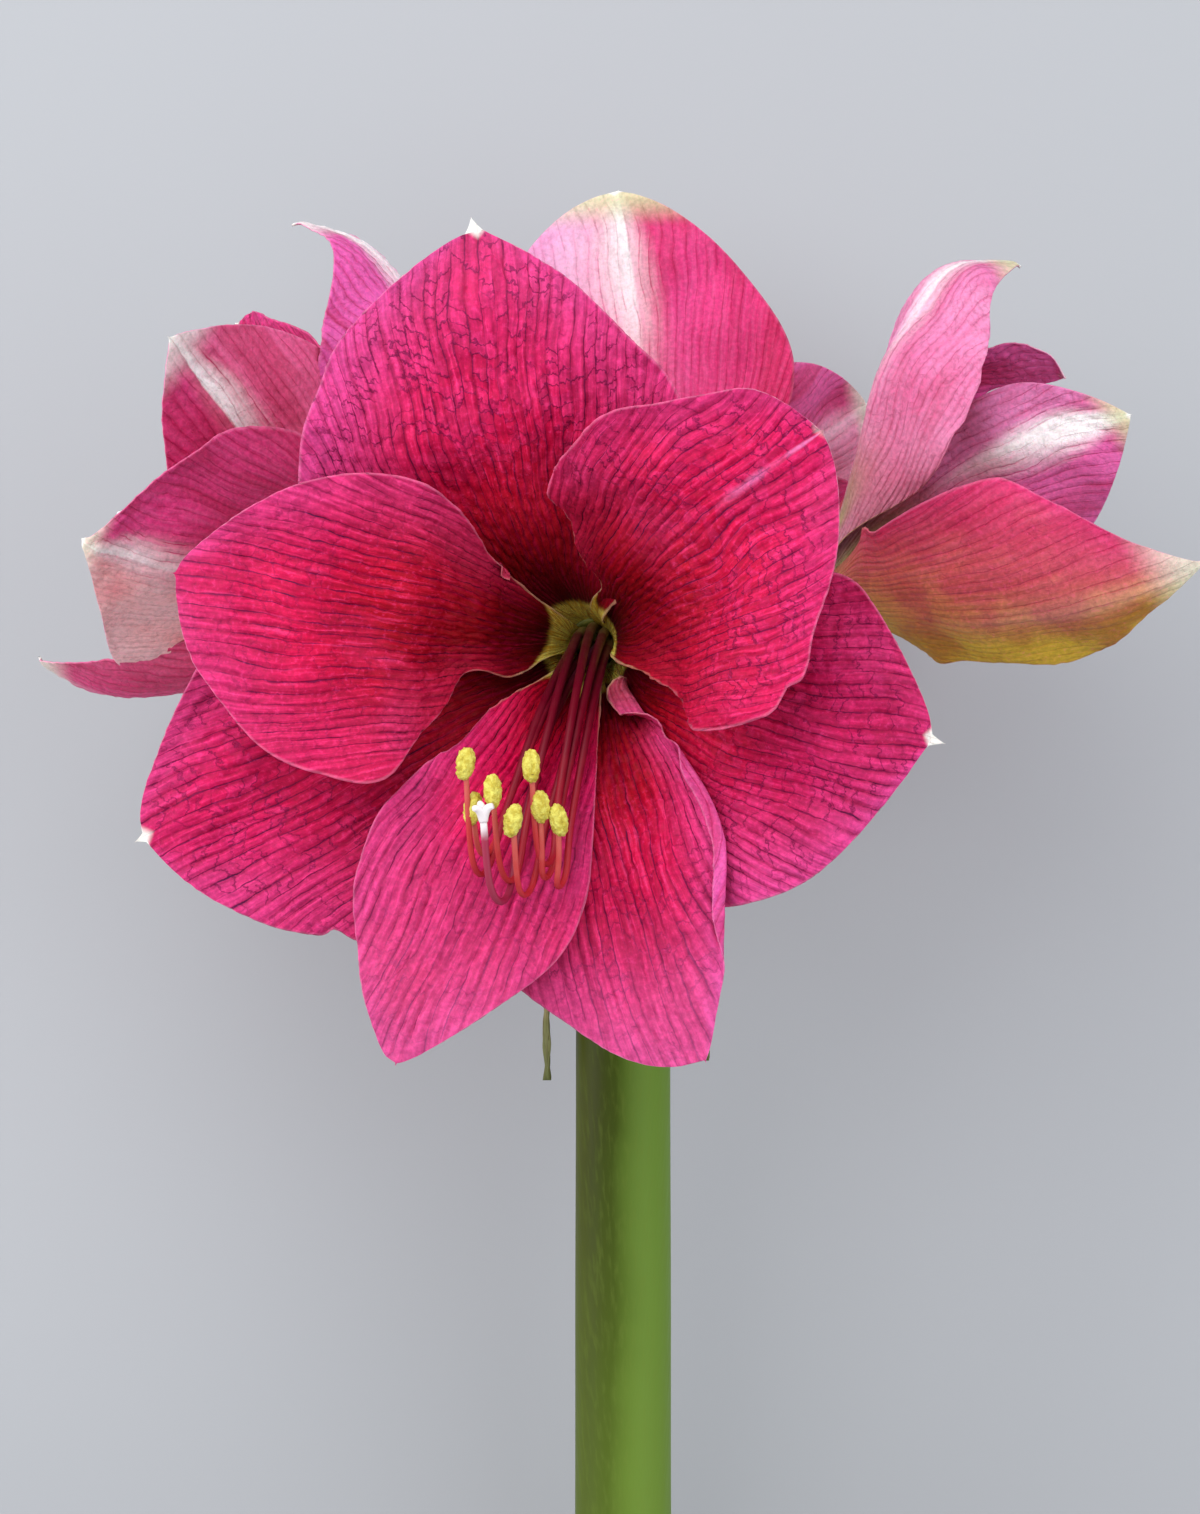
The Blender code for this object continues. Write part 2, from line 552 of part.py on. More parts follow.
def build_style(name, bloom, pale):
    """The style through the middle of the stamens, with its stigma."""
    _, (hook, end) = bloom_hooks(name, bloom)
    low, high = np.asarray(hook, float), np.asarray(end, float)
    foot_height = (TUBE_FLOOR + 2 * CLEARANCE + PLUG_HEIGHT) / MM
    tube_end = np.array((0, -2.0, TUBE_HEIGHT / MM + 3))
    bend = tube_end * 0.62 + low * 0.38 + np.array((0, 5.5, 6.5))
    before = tube_end * 0.25 + low * 0.75 + np.array((0, 0.0, 4.0))
    points = [np.array((0, 0, foot_height)), tube_end, bend, before, low, (low + high) / 2, high]
    route = placed_route(bloom, points, STYLE_STATIONS)
    radii = np.full(STYLE_STATIONS, STYLE_RADIUS)
    radii[-1] = STIGMA_RADIUS
    return new_object("style_" + name, rod(route, radii, 6, "style"), pale)


def valve_surface(clock, length, lean):
    """Middle surface of a spathe valve that hangs from the head of the scape."""
    ring = VALVE_RING_RADIUS / MM

    def surface(s, v):
        reach = ring + lean * np.sin(s * math.pi * 0.62)
        breadth = 14.0 * (1 - s)**0.75 * (1 - 0.25 * s) + 0.9
        turn = clock * DEG + v * breadth / (ring + 1.5 * lean * s)
        out = reach + 0.5 * np.sin(9 * s + 2 * v) * s
        return np.stack([out * np.cos(turn), out * np.sin(turn), -1 - length * s], axis=-1)
    return surface


def build_valve(name, clock, length, lean, dry):
    """One withered spathe valve."""
    mesh = blade(valve_surface(clock, length, lean), 8, 4, VALVE_THICKNESS, name)
    return new_object(name, mesh, dry)


def build_all():
    """Every piece of the stalk, laid down by one empty."""
    clear_scene()
    green = make_material("stalk_green", (0.22, 0.30, 0.09), 0.5)
    pink = make_material("tepal_pink", (0.55, 0.03, 0.14), 0.55)
    red = make_material("filament_red", (0.35, 0.01, 0.03), 0.5)
    pale = make_material("style_pale", (0.75, 0.45, 0.50), 0.5)
    dry = make_material("spathe_dry", (0.35, 0.30, 0.12), 0.7)
    pieces = [build_stalk(green)]
    for name, bloom in BLOOMS.items():
        pieces.append(build_perianth(name, bloom, pink))
        pieces.append(build_stamens(name, bloom, red))
        pieces.append(build_style(name, bloom, pale))
    pieces.append(build_valve("spathe_valve_left", 186, 78, 5.5, dry))
    pieces.append(build_valve("spathe_valve_right", -8, 73, 7.5, dry))
    rest = bpy.data.objects.new("lay", None)
    bpy.context.scene.collection.objects.link(rest)
    rest.matrix_world = lay_matrix()
    for piece in pieces:
        piece.parent = rest
    bpy.context.view_layer.update()


build_all()
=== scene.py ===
"""Amaryllis: the looks of one cut flower stalk that lies on a pale surface.

Every shape is worked out upright first, in millimetres: Z runs up the scape, the front bloom
looks along -Y, and the umbel is the origin. laid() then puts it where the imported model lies.
"""
import math

import bmesh
import bpy
import numpy as np
from mathutils import Matrix, Vector, noise


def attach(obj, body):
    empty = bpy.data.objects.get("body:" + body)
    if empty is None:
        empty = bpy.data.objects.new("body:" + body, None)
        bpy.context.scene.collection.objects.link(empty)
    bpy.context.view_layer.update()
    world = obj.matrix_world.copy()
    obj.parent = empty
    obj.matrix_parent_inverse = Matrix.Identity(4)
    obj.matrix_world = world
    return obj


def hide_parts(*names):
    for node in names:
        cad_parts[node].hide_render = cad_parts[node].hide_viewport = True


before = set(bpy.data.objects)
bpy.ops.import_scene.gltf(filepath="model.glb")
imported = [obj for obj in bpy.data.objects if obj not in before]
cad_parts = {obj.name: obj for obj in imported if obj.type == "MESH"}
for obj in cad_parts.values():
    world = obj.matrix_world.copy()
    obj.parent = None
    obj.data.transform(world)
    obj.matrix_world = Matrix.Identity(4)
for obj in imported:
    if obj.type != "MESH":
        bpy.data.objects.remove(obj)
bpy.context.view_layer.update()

MM = 0.001
DEG = math.pi / 180

# Lay of the stalk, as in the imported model
SCAPE_LENGTH = 360.0
LIE_SLOPE = 14.2 * DEG
UMBEL_X = 5.1
UMBEL_Y = 98.2
FLAT_SPOT_BLEND = 1.2
SCAPE_RADIUS = 12.3
SCAPE_TOP_RADIUS = 11.6
SCAPE_SIDES_IN_CAD = 24
HEAD_RADIUS = 13.0
HEAD_HEIGHT = 7.0
BORE_RADIUS = 7.2
BORE_STOP = 22.0

# Blooms
PEDICEL_RADIUS = 3.9
OVARY_RADIUS = 6.0
OVARY_LENGTH = 17.0
TUBE_HEIGHT = 17.0
TUBE_FOOT_RADIUS = 5.2
TUBE_MOUTH_RADIUS = 6.9
TUBE_WALL = 1.5
TUBE_FLOOR = 1.5
INNER_ROOT = (5.0, 14.0)
OUTER_ROOT = (6.1, 14.0)
ROOT_BREADTH = 3.4
CUP_SETTLES_AT = 0.45
OUTLINE_POWER = 6
FOLD_SOFTNESS = 3.0
VEIN_LANE = 4.3
VEIN_FAN = 0.8
VEIN_PITCH = 2.6
TEPAL_LENGTH = 120.0
ROWS_TO_TIP = 1.35
MARGIN_HALF = 0.16
BODY_HALF = 0.24
KEEL_HALF = 0.175
TIP_HALF = 0.45
GOLDEN_SHARE = 0.6180339

# Stamens and style
FILAMENT_RADIUS = 0.75
BUNDLE_RADIUS = 2.6
PLUG_HEIGHT = 2.0
HOOK_EASING = 5
CLEARANCE = 0.3
STYLE_RADIUS = 1.05
STIGMA_RADIUS = 1.0
STIGMA_LOBE = ((-0.6, 0), (1.2, 0.5), (2.4, 1.3), (2.9, 2.5))
STYLE_GAP = 80 * DEG
ANTHER_HALF = (1.9, 2.2, 3.7)

# Camera: distance from the front bloom's rim, and the height of the view there
RIM_Y = -110.0
CAMERA_DISTANCE = 950.0
VIEW_HEIGHT = 340.65
CAMERA_AT = (-5.8, RIM_Y - CAMERA_DISTANCE, 2.0)
FRAME_HEIGHT_MM = 36.0
LAMPS_LOOK_AT = (0, -90, 30)


def unit(vector):
    """The vector at length 1."""
    vector = np.asarray(vector, float)
    return vector / np.linalg.norm(vector)


def ease(x):
    """Smooth step from 0 to 1."""
    x = np.clip(x, 0, 1)
    return x * x * (3 - 2 * x)


def hump(x, centre, width):
    """A soft bump of height 1."""
    return np.exp(-((x - centre) / width)**2)


def bezier(points, t):
    """Cubic Bezier through rows of t."""
    a, b, c, d = (np.asarray(p, float) for p in points)
    t = np.asarray(t, float)[..., None]
    return (1 - t)**3 * a + 3 * (1 - t)**2 * t * b + 3 * (1 - t) * t**2 * c + t**3 * d


def through_stations(values, s):
    """Smooth curve through evenly spaced values, read at s from 0 to 1."""
    values = np.asarray(values, float)
    last = len(values) - 1
    x = np.clip(np.asarray(s, float) * last, 0, last - 1e-9)
    i = x.astype(int)
    f = x - i
    padded = np.concatenate([[2 * values[0] - values[1]], values, [2 * values[-1] - values[-2]]])
    a, b, c, d = padded[i], padded[i + 1], padded[i + 2], padded[i + 3]
    return b + 0.5 * f * (c - a + f * (2 * a - 5 * b + 4 * c - d + f * (3 * (b - c) + d - a)))


def ripple(x, y, seed, waves=10):
    """A smooth random field over x and y, of period about 1 and size about 1."""
    rng = np.random.default_rng(seed)
    total = np.zeros(np.broadcast(x, y).shape)
    for _ in range(waves):
        turn, phase = rng.uniform(0, 2 * math.pi, 2)
        pitch = rng.uniform(0.65, 1.5)
        total += np.sin(2 * math.pi * pitch * (x * math.cos(turn) + y * math.sin(turn)) + phase)
    return total / math.sqrt(waves / 2)


def lay_matrix():
    """Turn and drop that lay the upright stalk on the surface, in millimetres."""
    turn = Matrix.Rotation(LIE_SLOPE - math.pi / 2, 4, "X")
    height = (SCAPE_RADIUS * math.cos(LIE_SLOPE) * math.cos(math.pi / SCAPE_SIDES_IN_CAD)
              + SCAPE_LENGTH * math.sin(LIE_SLOPE))
    return Matrix.Translation((UMBEL_X, UMBEL_Y, height)) @ turn


LAY = np.array(lay_matrix())


def laid(points):
    """Upright millimetres to metres of the frame."""
    points = np.asarray(points, float)
    return (points @ LAY[:3, :3].T + LAY[:3, 3]) * MM


def settled(points, half):
    """Laid millimetres, bent up where they would sink in, and how flat they lie there."""
    depth = points[..., 2] - half
    eased = np.maximum(depth + FLAT_SPOT_BLEND, 0)**2 / (4 * FLAT_SPOT_BLEND)
    points = points.copy()
    points[..., 2] = half + np.where(depth > FLAT_SPOT_BLEND, depth, eased)
    return points, np.clip((FLAT_SPOT_BLEND - depth) / (2 * FLAT_SPOT_BLEND), 0, 1)


def window(s, start, end):
    """1 between start and end, with soft ends."""
    soft = 0.3 * (end - start)
    return ease((s - start) / soft) * ease((end - s) / soft)


class Tepal:
    """One tepal, in millimetres, in its bloom's frame.

    The midrib is a Bezier of (distance from the axis, height along it). left and right are half
    breadths at even stations, as seen looking from the throat to the tip. roll is a list of
    (side, start, end, flap, radius) where a margin grows on by a flap and folds over, and notch a
    list of (side, place, width, depth) where it is cut in. deep says how far the dark throat
    reaches, net how strong the cross veins are, and end how white the tip is and how it fades.
    cup is the curvature across at the middle and at the tip, point how blunt each side ends, bow
    a sideways bend of the rib, fold how steep the sides rise from it, crinkle how rough the skin
    is, and spur the length and half breadth of the small point at the tip.
    pale is the strength of the white keel and, above 1.4, of a painted lilac highlight along the rib near
    the tip of the inner face; lilac tints the inner face, and hue, from ochre at -1 over rose to lilac at
    1, and milk tint the outer one, each at the left and the right of the rib.
    """

    def __init__(self, clock, root, belly, crest, tip, left, right, cup=(0.012, 0.004),
                 point=(0.7, 0.7), bow=0.0, fold=0.0, roll=(), notch=(), crinkle=1.0,
                 spur=(0.006, 0.5), deep=1.0, pale=(1, 1), net=0.6, lilac=(0.4, 0.4),
                 hue=(0, 0), milk=(0, 0), end=(1, 0)):
        self.clock = clock * DEG
        self.rib = (root, belly, crest, tip)
        self.breadths = (left, right)
        self.cup = cup
        self.point = point
        self.bow = bow
        self.fold = fold
        self.roll = roll
        self.notch = notch
        self.crinkle = crinkle
        self.spur = spur
        self.deep = deep
        self.pale = pale
        self.net = net
        self.lilac = lilac
        self.hue = hue
        self.milk = milk
        self.end = end

    def half_breadth(self, s, side):
        """Breadth of one side of the midrib at s, with the mucro at the tip."""
        inside = np.clip(s, 0, 1)
        full = through_stations([ROOT_BREADTH, *self.breadths[side]], inside)
        body = full * np.maximum(1 - inside**OUTLINE_POWER, 0)**self.point[side]
        for which, place, width, depth in self.notch:
            if which == side:
                body = body - depth * hump(s, place, width)
        length, breadth = self.spur
        spur = breadth * np.clip((1 + length - s) / (length * 1.3), 0, 1)**1.3 * ease((s - 0.9) * 12)
        return np.sqrt(np.maximum(body, 0)**2 + spur**2)

    def curvature(self, s):
        """Curvature across the tepal at s."""
        soft = ease(s / CUP_SETTLES_AT)
        late = np.clip((s - CUP_SETTLES_AT) / (1 - CUP_SETTLES_AT), 0, 1)
        return (1 - soft) / self.rib[0][0] + soft * (self.cup[0] * (1 - late) + self.cup[1] * late)

    def midrib(self, s):
        """Midrib points and forward directions; past the tip it runs on into the mucro."""
        inside = np.clip(s, 0, 1)
        step = 1e-4
        before, after = (bezier(self.rib, np.clip(inside + way, 0, 1)) for way in (-step, step))
        ahead = after - before
        ahead /= np.linalg.norm(ahead, axis=-1, keepdims=True)
        length = np.linalg.norm(np.subtract(self.rib[3], self.rib[2])) * 3
        points = bezier(self.rib, inside) + ahead * np.maximum(s - 1, 0)[..., None] * length
        return points, ahead

    def cross_section(self, s, v, breadth):
        """How far each point lies from the midrib: along the skin, sideways, and lifted."""
        columns = v.shape[1] - 1
        flap = np.zeros_like(breadth)
        for side, start, end, width, _ in self.roll:
            flap = flap + ((v < 0) == (side == 0)) * width * window(s, start, end)
        reach = np.abs(v) * (breadth + flap)
        bend = self.curvature(s) * np.ones_like(reach)
        for side, start, end, _, radius in self.roll:
            crease = breadth - 0.8 * radius
            past = (reach - crease) / radius
            zone = ease(past / 0.5) * ease((3.2 - past) / 0.6)
            bend = bend + ((v < 0) == (side == 0)) * window(s, start, end) * zone / radius
        side_way, lift = np.zeros_like(reach), np.zeros_like(reach)
        zero = np.zeros((len(reach), 1))
        for sign, part in ((-1, slice(columns // 2, None, -1)), (1, slice(columns // 2, None))):
            step = np.diff(reach[:, part], axis=1)
            turn = (bend[:, part][:, 1:] + bend[:, part][:, :-1]) / 2 * step
            angle = np.cumsum(turn, axis=1) - turn / 2
            for path, way in ((side_way, sign * np.cos(angle)), (lift, np.sin(angle))):
                path[:, part] = np.concatenate([zero, np.cumsum(way * step, axis=1)], axis=1)
        return reach, side_way, lift

    def sheet(self, rows, columns, seed):
        """Middle surface as a grid of points, with s, v and the vein phase at each."""
        s = (1 + self.spur[0]) * (1 - np.linspace(1, 0, rows + 1)**ROWS_TO_TIP)[:, None]
        v = np.linspace(-1, 1, columns + 1)[None, :]
        s, v = np.broadcast_arrays(s, v)
        breadth = np.where(v < 0, self.half_breadth(s, 0), self.half_breadth(s, 1))
        reach, side_way, lift = self.cross_section(s, v, breadth)
        keeled = np.sqrt(reach**2 + FOLD_SOFTNESS**2) - FOLD_SOFTNESS
        lift = lift + self.fold * ease(s / CUP_SETTLES_AT) * keeled
        side_way = side_way + self.bow * np.sin(math.pi * np.clip(s, 0, 1))
        fan = 1 - np.exp(-np.maximum(s, 0.05) / VEIN_FAN)
        wobble = 0.25 * ripple(s * 3.2, reach * np.sign(v) / 30, seed + 11)
        phase = reach * np.sign(v) / (VEIN_LANE * fan) + wobble * ease(s * 4)
        tip_hook = 60.0 * np.maximum(s - 0.99, 0)
        lift = lift + self.relief(s, v, reach, phase, seed) + tip_hook
        rib, ahead = self.midrib(s)
        radial = rib[..., 0] - ahead[..., 1] * lift
        height = rib[..., 1] + ahead[..., 0] * lift
        cos, sin = math.cos(self.clock), math.sin(self.clock)
        points = np.stack([radial * cos + side_way * sin, radial * sin - side_way * cos, height], axis=-1)
        return points, s, v, phase

    def relief(self, s, v, reach, phase, seed):
        """Height of the quilted skin: puffed between the veins, wrinkled across, waved at the rim."""
        length = s * TEPAL_LENGTH
        grown = ease((s - 0.12) / 0.3) * ease((1.0 - s) / 0.06)
        uneven = 0.75 + 0.45 * ripple(length / 15, phase / 2.6, seed + 3)
        puff = 0.28 * (np.abs(np.sin(math.pi * phase))**0.8 - 0.6) * uneven
        ribbed = 0.18 * ripple(length / 4.6, phase / 1.2, seed + 5)
        fine = 0.09 * ripple(length / 2.6, phase / 0.8, seed + 6)
        broad = 0.75 * ripple(length / 34, reach * np.sign(v) / 24, seed + 7, 7)
        rim = np.abs(v)**4 * ease((s - 0.15) / 0.3) * ease((1.0 - s) / 0.1)
        waved = 0.6 * ripple(length / 17, np.sign(v), seed + 9, 6) * rim
        broad = broad * ease((s - 0.15) * 3) * ease((1 - s) * 8)
        return self.crinkle * (grown * (puff + ribbed + fine) + waved) + broad


class Bloom:
    """Where one bloom sits: the top of its ovary, the way it looks, and its tepals."""

    def __init__(self, base, axis, tepals):
        self.base = np.asarray(base, float)
        self.axis = unit(axis)
        upright = np.array((0.0, 0.0, 1.0))
        self.up = unit(upright - self.axis * np.dot(upright, self.axis))
        self.side = np.cross(self.up, self.axis)
        self.tepals = tepals

    def place(self, points):
        """Points of the bloom's frame, in the upright frame."""
        points = np.asarray(points, float)
        return (self.base + points[..., :1] * self.side + points[..., 1:2] * self.up
                + points[..., 2:] * self.axis)

    def inside(self, point):
        """A point of the upright frame, in the bloom's frame."""
        offset = np.asarray(point, float) - self.base
        return np.array((offset @ self.side, offset @ self.up, offset @ self.axis))


FRONT = Bloom((-4.5, -34, 28.7), (-0.17, -0.985, 0.0), [
    Tepal(101.5, OUTER_ROOT, (13, 39), (45, 80), (95, 66),
          (9.1, 15.9, 24.2, 33.3, 41.7, 47.6, 47.9, 46.5, 45, 34),
          (9.1, 15.8, 24.1, 33.2, 41.6, 47.1, 46.4, 42.1, 41.7, 43.4), (0.006, -0.004), (0.55, 0.94),
          -6, crinkle=1.3, spur=(0.020, 2.8), net=1, lilac=(0.75, 0.4), end=(1, 0.1)),
    Tepal(170, INNER_ROOT, (10, 48), (36, 92), (87, 78),
          (3.6, 6.4, 11.4, 11, 24.7, 41.1, 43.3, 43.5, 40.5, 42.4),
          (5.4, 7.9, 11.1, 16.1, 24.9, 31.2, 32.1, 29.7, 24.1, 14.3), (0.018, 0.002), (0.61, 0.43),
          roll=((1, 0.35, 0.40, 2.6, 0.5),), deep=1.2, net=0.4, lilac=(0.15, 0.35), end=(0, 0.08)),
    Tepal(36, INNER_ROOT, (10, 48), (36, 92), (77, 80),
          (5.7, 6.6, 7.2, 21.5, 30.8, 33.4, 35.2, 32.1, 35.4, 52.6),
          (6.7, 11, 17.1, 25.4, 41.5, 49.4, 52.4, 42, 35.7, 27.6), (0.022, 0.004), (0.76, 0.54), -1,
          notch=((1, 0.70, 0.018, 3.0),), deep=1.15, pale=(2, 2), net=0.9, lilac=(0.25, 0.1),
          end=(0.3, 0)),
    Tepal(-15, OUTER_ROOT, (13, 39), (45, 78), (88, 66),
          (7.4, 11.9, 17.1, 22.6, 27.7, 32, 35, 36.8, 30, 20),
          (9.8, 17.2, 26.2, 35.6, 43.6, 49.1, 51.9, 54.4, 57.6, 57.7), (0.004, -0.003), (0.53, 0.91), 3,
          spur=(0.026, 2.0), deep=0.95, net=0.9, lilac=(0.1, 0.7)),
    Tepal(-110, INNER_ROOT, (10, 46), (40, 90), (102, 76),
          (5.5, 7.7, 10.2, 13.4, 17.6, 22.8, 28.3, 30.1, 25.1, 17.6),
          (4.8, 6.7, 9.8, 14.9, 18.4, 24.2, 27.2, 26.9, 21.5, 11.5), (0.008, -0.004), (0.67, 0.35), -3,
          spur=(0.004, 0.3), deep=0.75, net=0.4, lilac=(0.1, 0.3), end=(0, 0.5)),
    Tepal(-70, OUTER_ROOT, (12, 40), (44, 80), (101, 68),
          (4.8, 6.3, 8.3, 11.1, 16.5, 20.7, 22.8, 20.2, 17.2, 15.7),
          (8, 13.4, 20.1, 27.7, 35.1, 40.7, 43, 40.2, 35, 31.1), (0.008, -0.004), (0.79, 0.4),
          roll=((0, 0.21, 0.45, 7.0, 1.3), (0, 0.40, 0.97, 4.2, 0.8)), spur=(0.004, 0.3), deep=1.05,
          lilac=(0.9, 0.1), hue=(0.8, 0), end=(0, 0.5)),
    Tepal(205, OUTER_ROOT, (13, 39), (45, 80), (107, 64),
          (9.8, 17.4, 26.9, 37.4, 47.1, 54, 55.8, 50.5, 50.4, 49.7),
          (8.8, 14.9, 22.1, 29.4, 35.7, 39.6, 40.2, 37.2, 29.7, 19.2), (0.002, -0.003), (0.66, 0.39),
          notch=((0, 0.81, 0.014, 2.2),), spur=(0.014, 1.8), deep=1.05, net=0.8, lilac=(0.3, 0.3)),
])
LEFT = Bloom((-24, 10, 28), (-0.815, 0.10, 0.57), [
    Tepal(85, OUTER_ROOT, (12, 41), (81, 62), (57, 111), (13, 21, 25, 24, 19), (17, 31, 39, 37, 21),
          (0.04, 0.014), (0.73, 0.79), -5.3, 0.18, crinkle=0.6, spur=(0.006, 1.6), pale=(1.2, 1.2),
          hue=(1, 1), end=(1, 1)),
    Tepal(14, INNER_ROOT, (11, 43), (33, 83), (71, 105), (13, 26, 35, 30, 15), (12, 23, 28, 23, 15),
          (0.009, 0.008), (0.6, 0.7), 6.2, 0.08, crinkle=0.6, pale=(1.6, 0.1), hue=(0.35, 0.1),
          milk=(0.15, 0), end=(1, 1)),
    Tepal(-28, OUTER_ROOT, (16, 58), (70, 77), (75, 96), (17, 35, 41, 35, 21), (16, 32, 42, 24, 8),
          (0.004, -0.005), (1.03, 0.79), 3.5, 0.25, crinkle=0.6, spur=(0.010, 1.2), pale=(1.2, 0.7),
          hue=(0.3, -0.1), milk=(0, 1), end=(1, 0.5)),
    Tepal(-85, INNER_ROOT, (12, 50), (76, 58), (73, 102), (13, 22, 27, 28, 30), (13, 20, 24, 25, 26),
          (0.019, 0.017), (0.61, 0.65), 6.1, 0.09, crinkle=0.6, pale=(0.2, 0.2), hue=(0, 0.4),
          milk=(0.1, 0.2), end=(1, 0.6)),
    Tepal(-132, OUTER_ROOT, (13, 39), (36, 84), (66, 88), (9, 27, 34, 30, 18), (9, 27, 34, 30, 18),
          (0.02, 0.01)),
    Tepal(151, INNER_ROOT, (12, 46), (28, 104), (52, 120), (12, 22, 27, 25, 19), (13, 25, 31, 21, 16),
          (0.02, 0.015), (0.7, 0.68), 1.6, 0.13),
])
RIGHT = Bloom((34.7, 10, 31.6), (0.83, 0.05, 0.557), [
    Tepal(112, OUTER_ROOT, (11, 39), (84, 69), (46, 105), (4, 24, 30, 30, 25), (11, 19, 20, 25, 13),
          (0.018, 0.028), (0.86, 0.7), -11.9, 0.19, crinkle=0.4, spur=(0.004, 0.8), pale=(0.6, 1.1),
          hue=(0.6, 0.7), milk=(0.35, 0.5)),
    # This tepal sits in the shade of its neighbours: its shallow dark throat, strong lilac and pale tip
    # are painted light that brightens it.
    Tepal(53, INNER_ROOT, (13, 44), (41, 73), (16, 104), (10, 17, 19, 17, 25), (12, 18, 16, 7, 12),
          (0.034, 0.015), (0.35, 0.65), -10.5, crinkle=0.5, deep=0.4, lilac=(1.5, 1.5), end=(0.3, 1)),
    Tepal(184, INNER_ROOT, (13, 42), (38, 76), (47, 101), (12, 25, 35, 27, 14), (10, 15, 15, 18, 15),
          (0.022, 0.015), (0.77, 0.76), 9.6, 0.09, crinkle=0.4, pale=(1.6, 2.2), hue=(0.8, 0.9),
          milk=(0.1, 0.35)),
    Tepal(213, OUTER_ROOT, (13, 26), (74, 28), (77, 93), (16, 17, 17, 26, 12), (17, 25, 36, 41, 30),
          (-0.013, 0.028), (0.97, 1.03), 6.1, 0.28, crinkle=0.5, pale=(0.1, 0.1), hue=(-1.5, 0),
          end=(1, 0.5)),
    Tepal(-49, INNER_ROOT, (12, 42), (34, 80), (21, 90), (10, 18, 22, 21, 17), (10, 18, 22, 21, 17),
          (0.03, 0.03)),
    Tepal(-4, OUTER_ROOT, (13, 39), (42, 78), (40, 106), (8, 22, 28, 24, 15), (8, 22, 28, 24, 15),
          (0.03, 0.025)),
])
REAR = Bloom((3, 22, 30), (0.05, 0.76, 0.645), [
    Tepal(86, OUTER_ROOT, (11, 38), (52, 77), (78, 93), (16, 33, 41, 33, 24), (15, 29, 39, 38, 28),
          (0.008, 0.004), (0.57, 0.52), -3.7, 0.04, crinkle=0.3, pale=(0.7, 1.3), net=0,
          hue=(0.05, 0.8), milk=(0, 0.75)),
    Tepal(171, INNER_ROOT, (11, 43), (44, 83), (60, 93), (12, 23, 29, 28, 23), (13, 23, 30, 29, 22),
          (0.011, 0.003), (0.7, 0.83), -0.8, crinkle=0.3, pale=(0.5, 0.3), net=0, hue=(0.4, 0.7),
          milk=(0.5, 0.1), end=(1, 0.6)),
    Tepal(20, INNER_ROOT, (11, 44), (38, 86), (64, 88), (9, 26, 34, 30, 20), (9, 26, 34, 30, 20),
          (0.012, 0.004)),
    Tepal(218, OUTER_ROOT, (13, 39), (42, 84), (79, 87), (9, 26, 34, 30, 20), (9, 26, 34, 30, 20),
          (0.012, 0.004)),
    Tepal(268, INNER_ROOT, (11, 44), (34, 80), (53, 72), (9, 26, 34, 30, 20), (9, 26, 34, 30, 20),
          (0.012, 0.004)),
    Tepal(-33, OUTER_ROOT, (13, 39), (42, 84), (78, 86), (9, 26, 34, 30, 20), (9, 26, 34, 30, 20),
          (0.012, 0.004)),
])
BLOOMS = {"front": FRONT, "left": LEFT, "right": RIGHT, "rear": REAR}
TEPAL_GRID = {"front": (128, 124), "left": (80, 70), "right": (80, 64), "rear": (76, 68)}

# Hooked ends of the front bloom's stamens: bottom of the hook and the anther's middle
FRONT_HOOKS = [
    ((-23.4, -122.5, -29.6), (-25.0, -129.0, -12.0)),
    ((-16.0, -119.0, -27.8), (-15.0, -124.0, -12.0)),
    ((-18.9, -119.0, -25.8), (-19.0, -124.5, -9.0)),
    ((-18.6, -120.0, -22.8), (-21.0, -126.5, 0.0)),
    ((-26.6, -121.0, -26.5), (-29.5, -128.0, -5.5)),
    ((-33.1, -122.0, -25.1), (-35.5, -127.0, 0.5)),
    ((-32.3, -119.0, -20.5), (-34.0, -124.0, -9.5)),
]
FRONT_STYLE_HOOK = ((-28.5, -125.0, -31.0), (-31.5, -131.0, -11.5))
SIDE_STAMENS = 6
SIDE_PITCH = 4.2
SIDE_STAGGER = 5.0
SIDE_DROOP = {"left": 36.0, "right": 15.0, "rear": 30.0}
SIDE_REACH = {"left": 90.0, "right": 78.0, "rear": 86.0}


def add_piece(name, bm, material, *nodes, slot, maps=None):
    """Link a finished bmesh as a piece that stands for CAD nodes, with its sheet maps if it has any."""
    mesh = bpy.data.meshes.new(name)
    bm.to_mesh(mesh)
    bm.free()
    if maps:
        write_maps(mesh, maps)
    mesh.shade_smooth()
    mesh.materials.append(material)
    piece = bpy.data.objects.new(name, mesh)
    bpy.context.scene.collection.objects.link(piece)
    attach(piece, "root")
    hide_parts(*nodes)
    return piece


def write_maps(mesh, maps):
    """UV layers of a sheet, each from a pair of values for every place of its grid."""
    corners = np.empty(len(mesh.loops), np.int32)
    mesh.loops.foreach_get("vertex_index", corners)
    number = np.empty(len(mesh.vertices), np.int32)
    mesh.attributes["number"].data.foreach_get("value", number)
    outside = np.empty(len(mesh.vertices), np.int32)
    mesh.attributes["outside"].data.foreach_get("value", outside)
    for name, pair in maps.items():
        values = np.stack(np.broadcast_arrays(*pair), axis=-1).reshape(-1, 2)[number[corners]]
        if name == "petal_side":
            values[:, 0] = outside[corners]
        layer = mesh.uv_layers.new(name=name, do_init=False)
        layer.data.foreach_set("uv", values.astype(np.float32).ravel())
    for helper in ("number", "outside"):
        mesh.attributes.remove(mesh.attributes[helper])


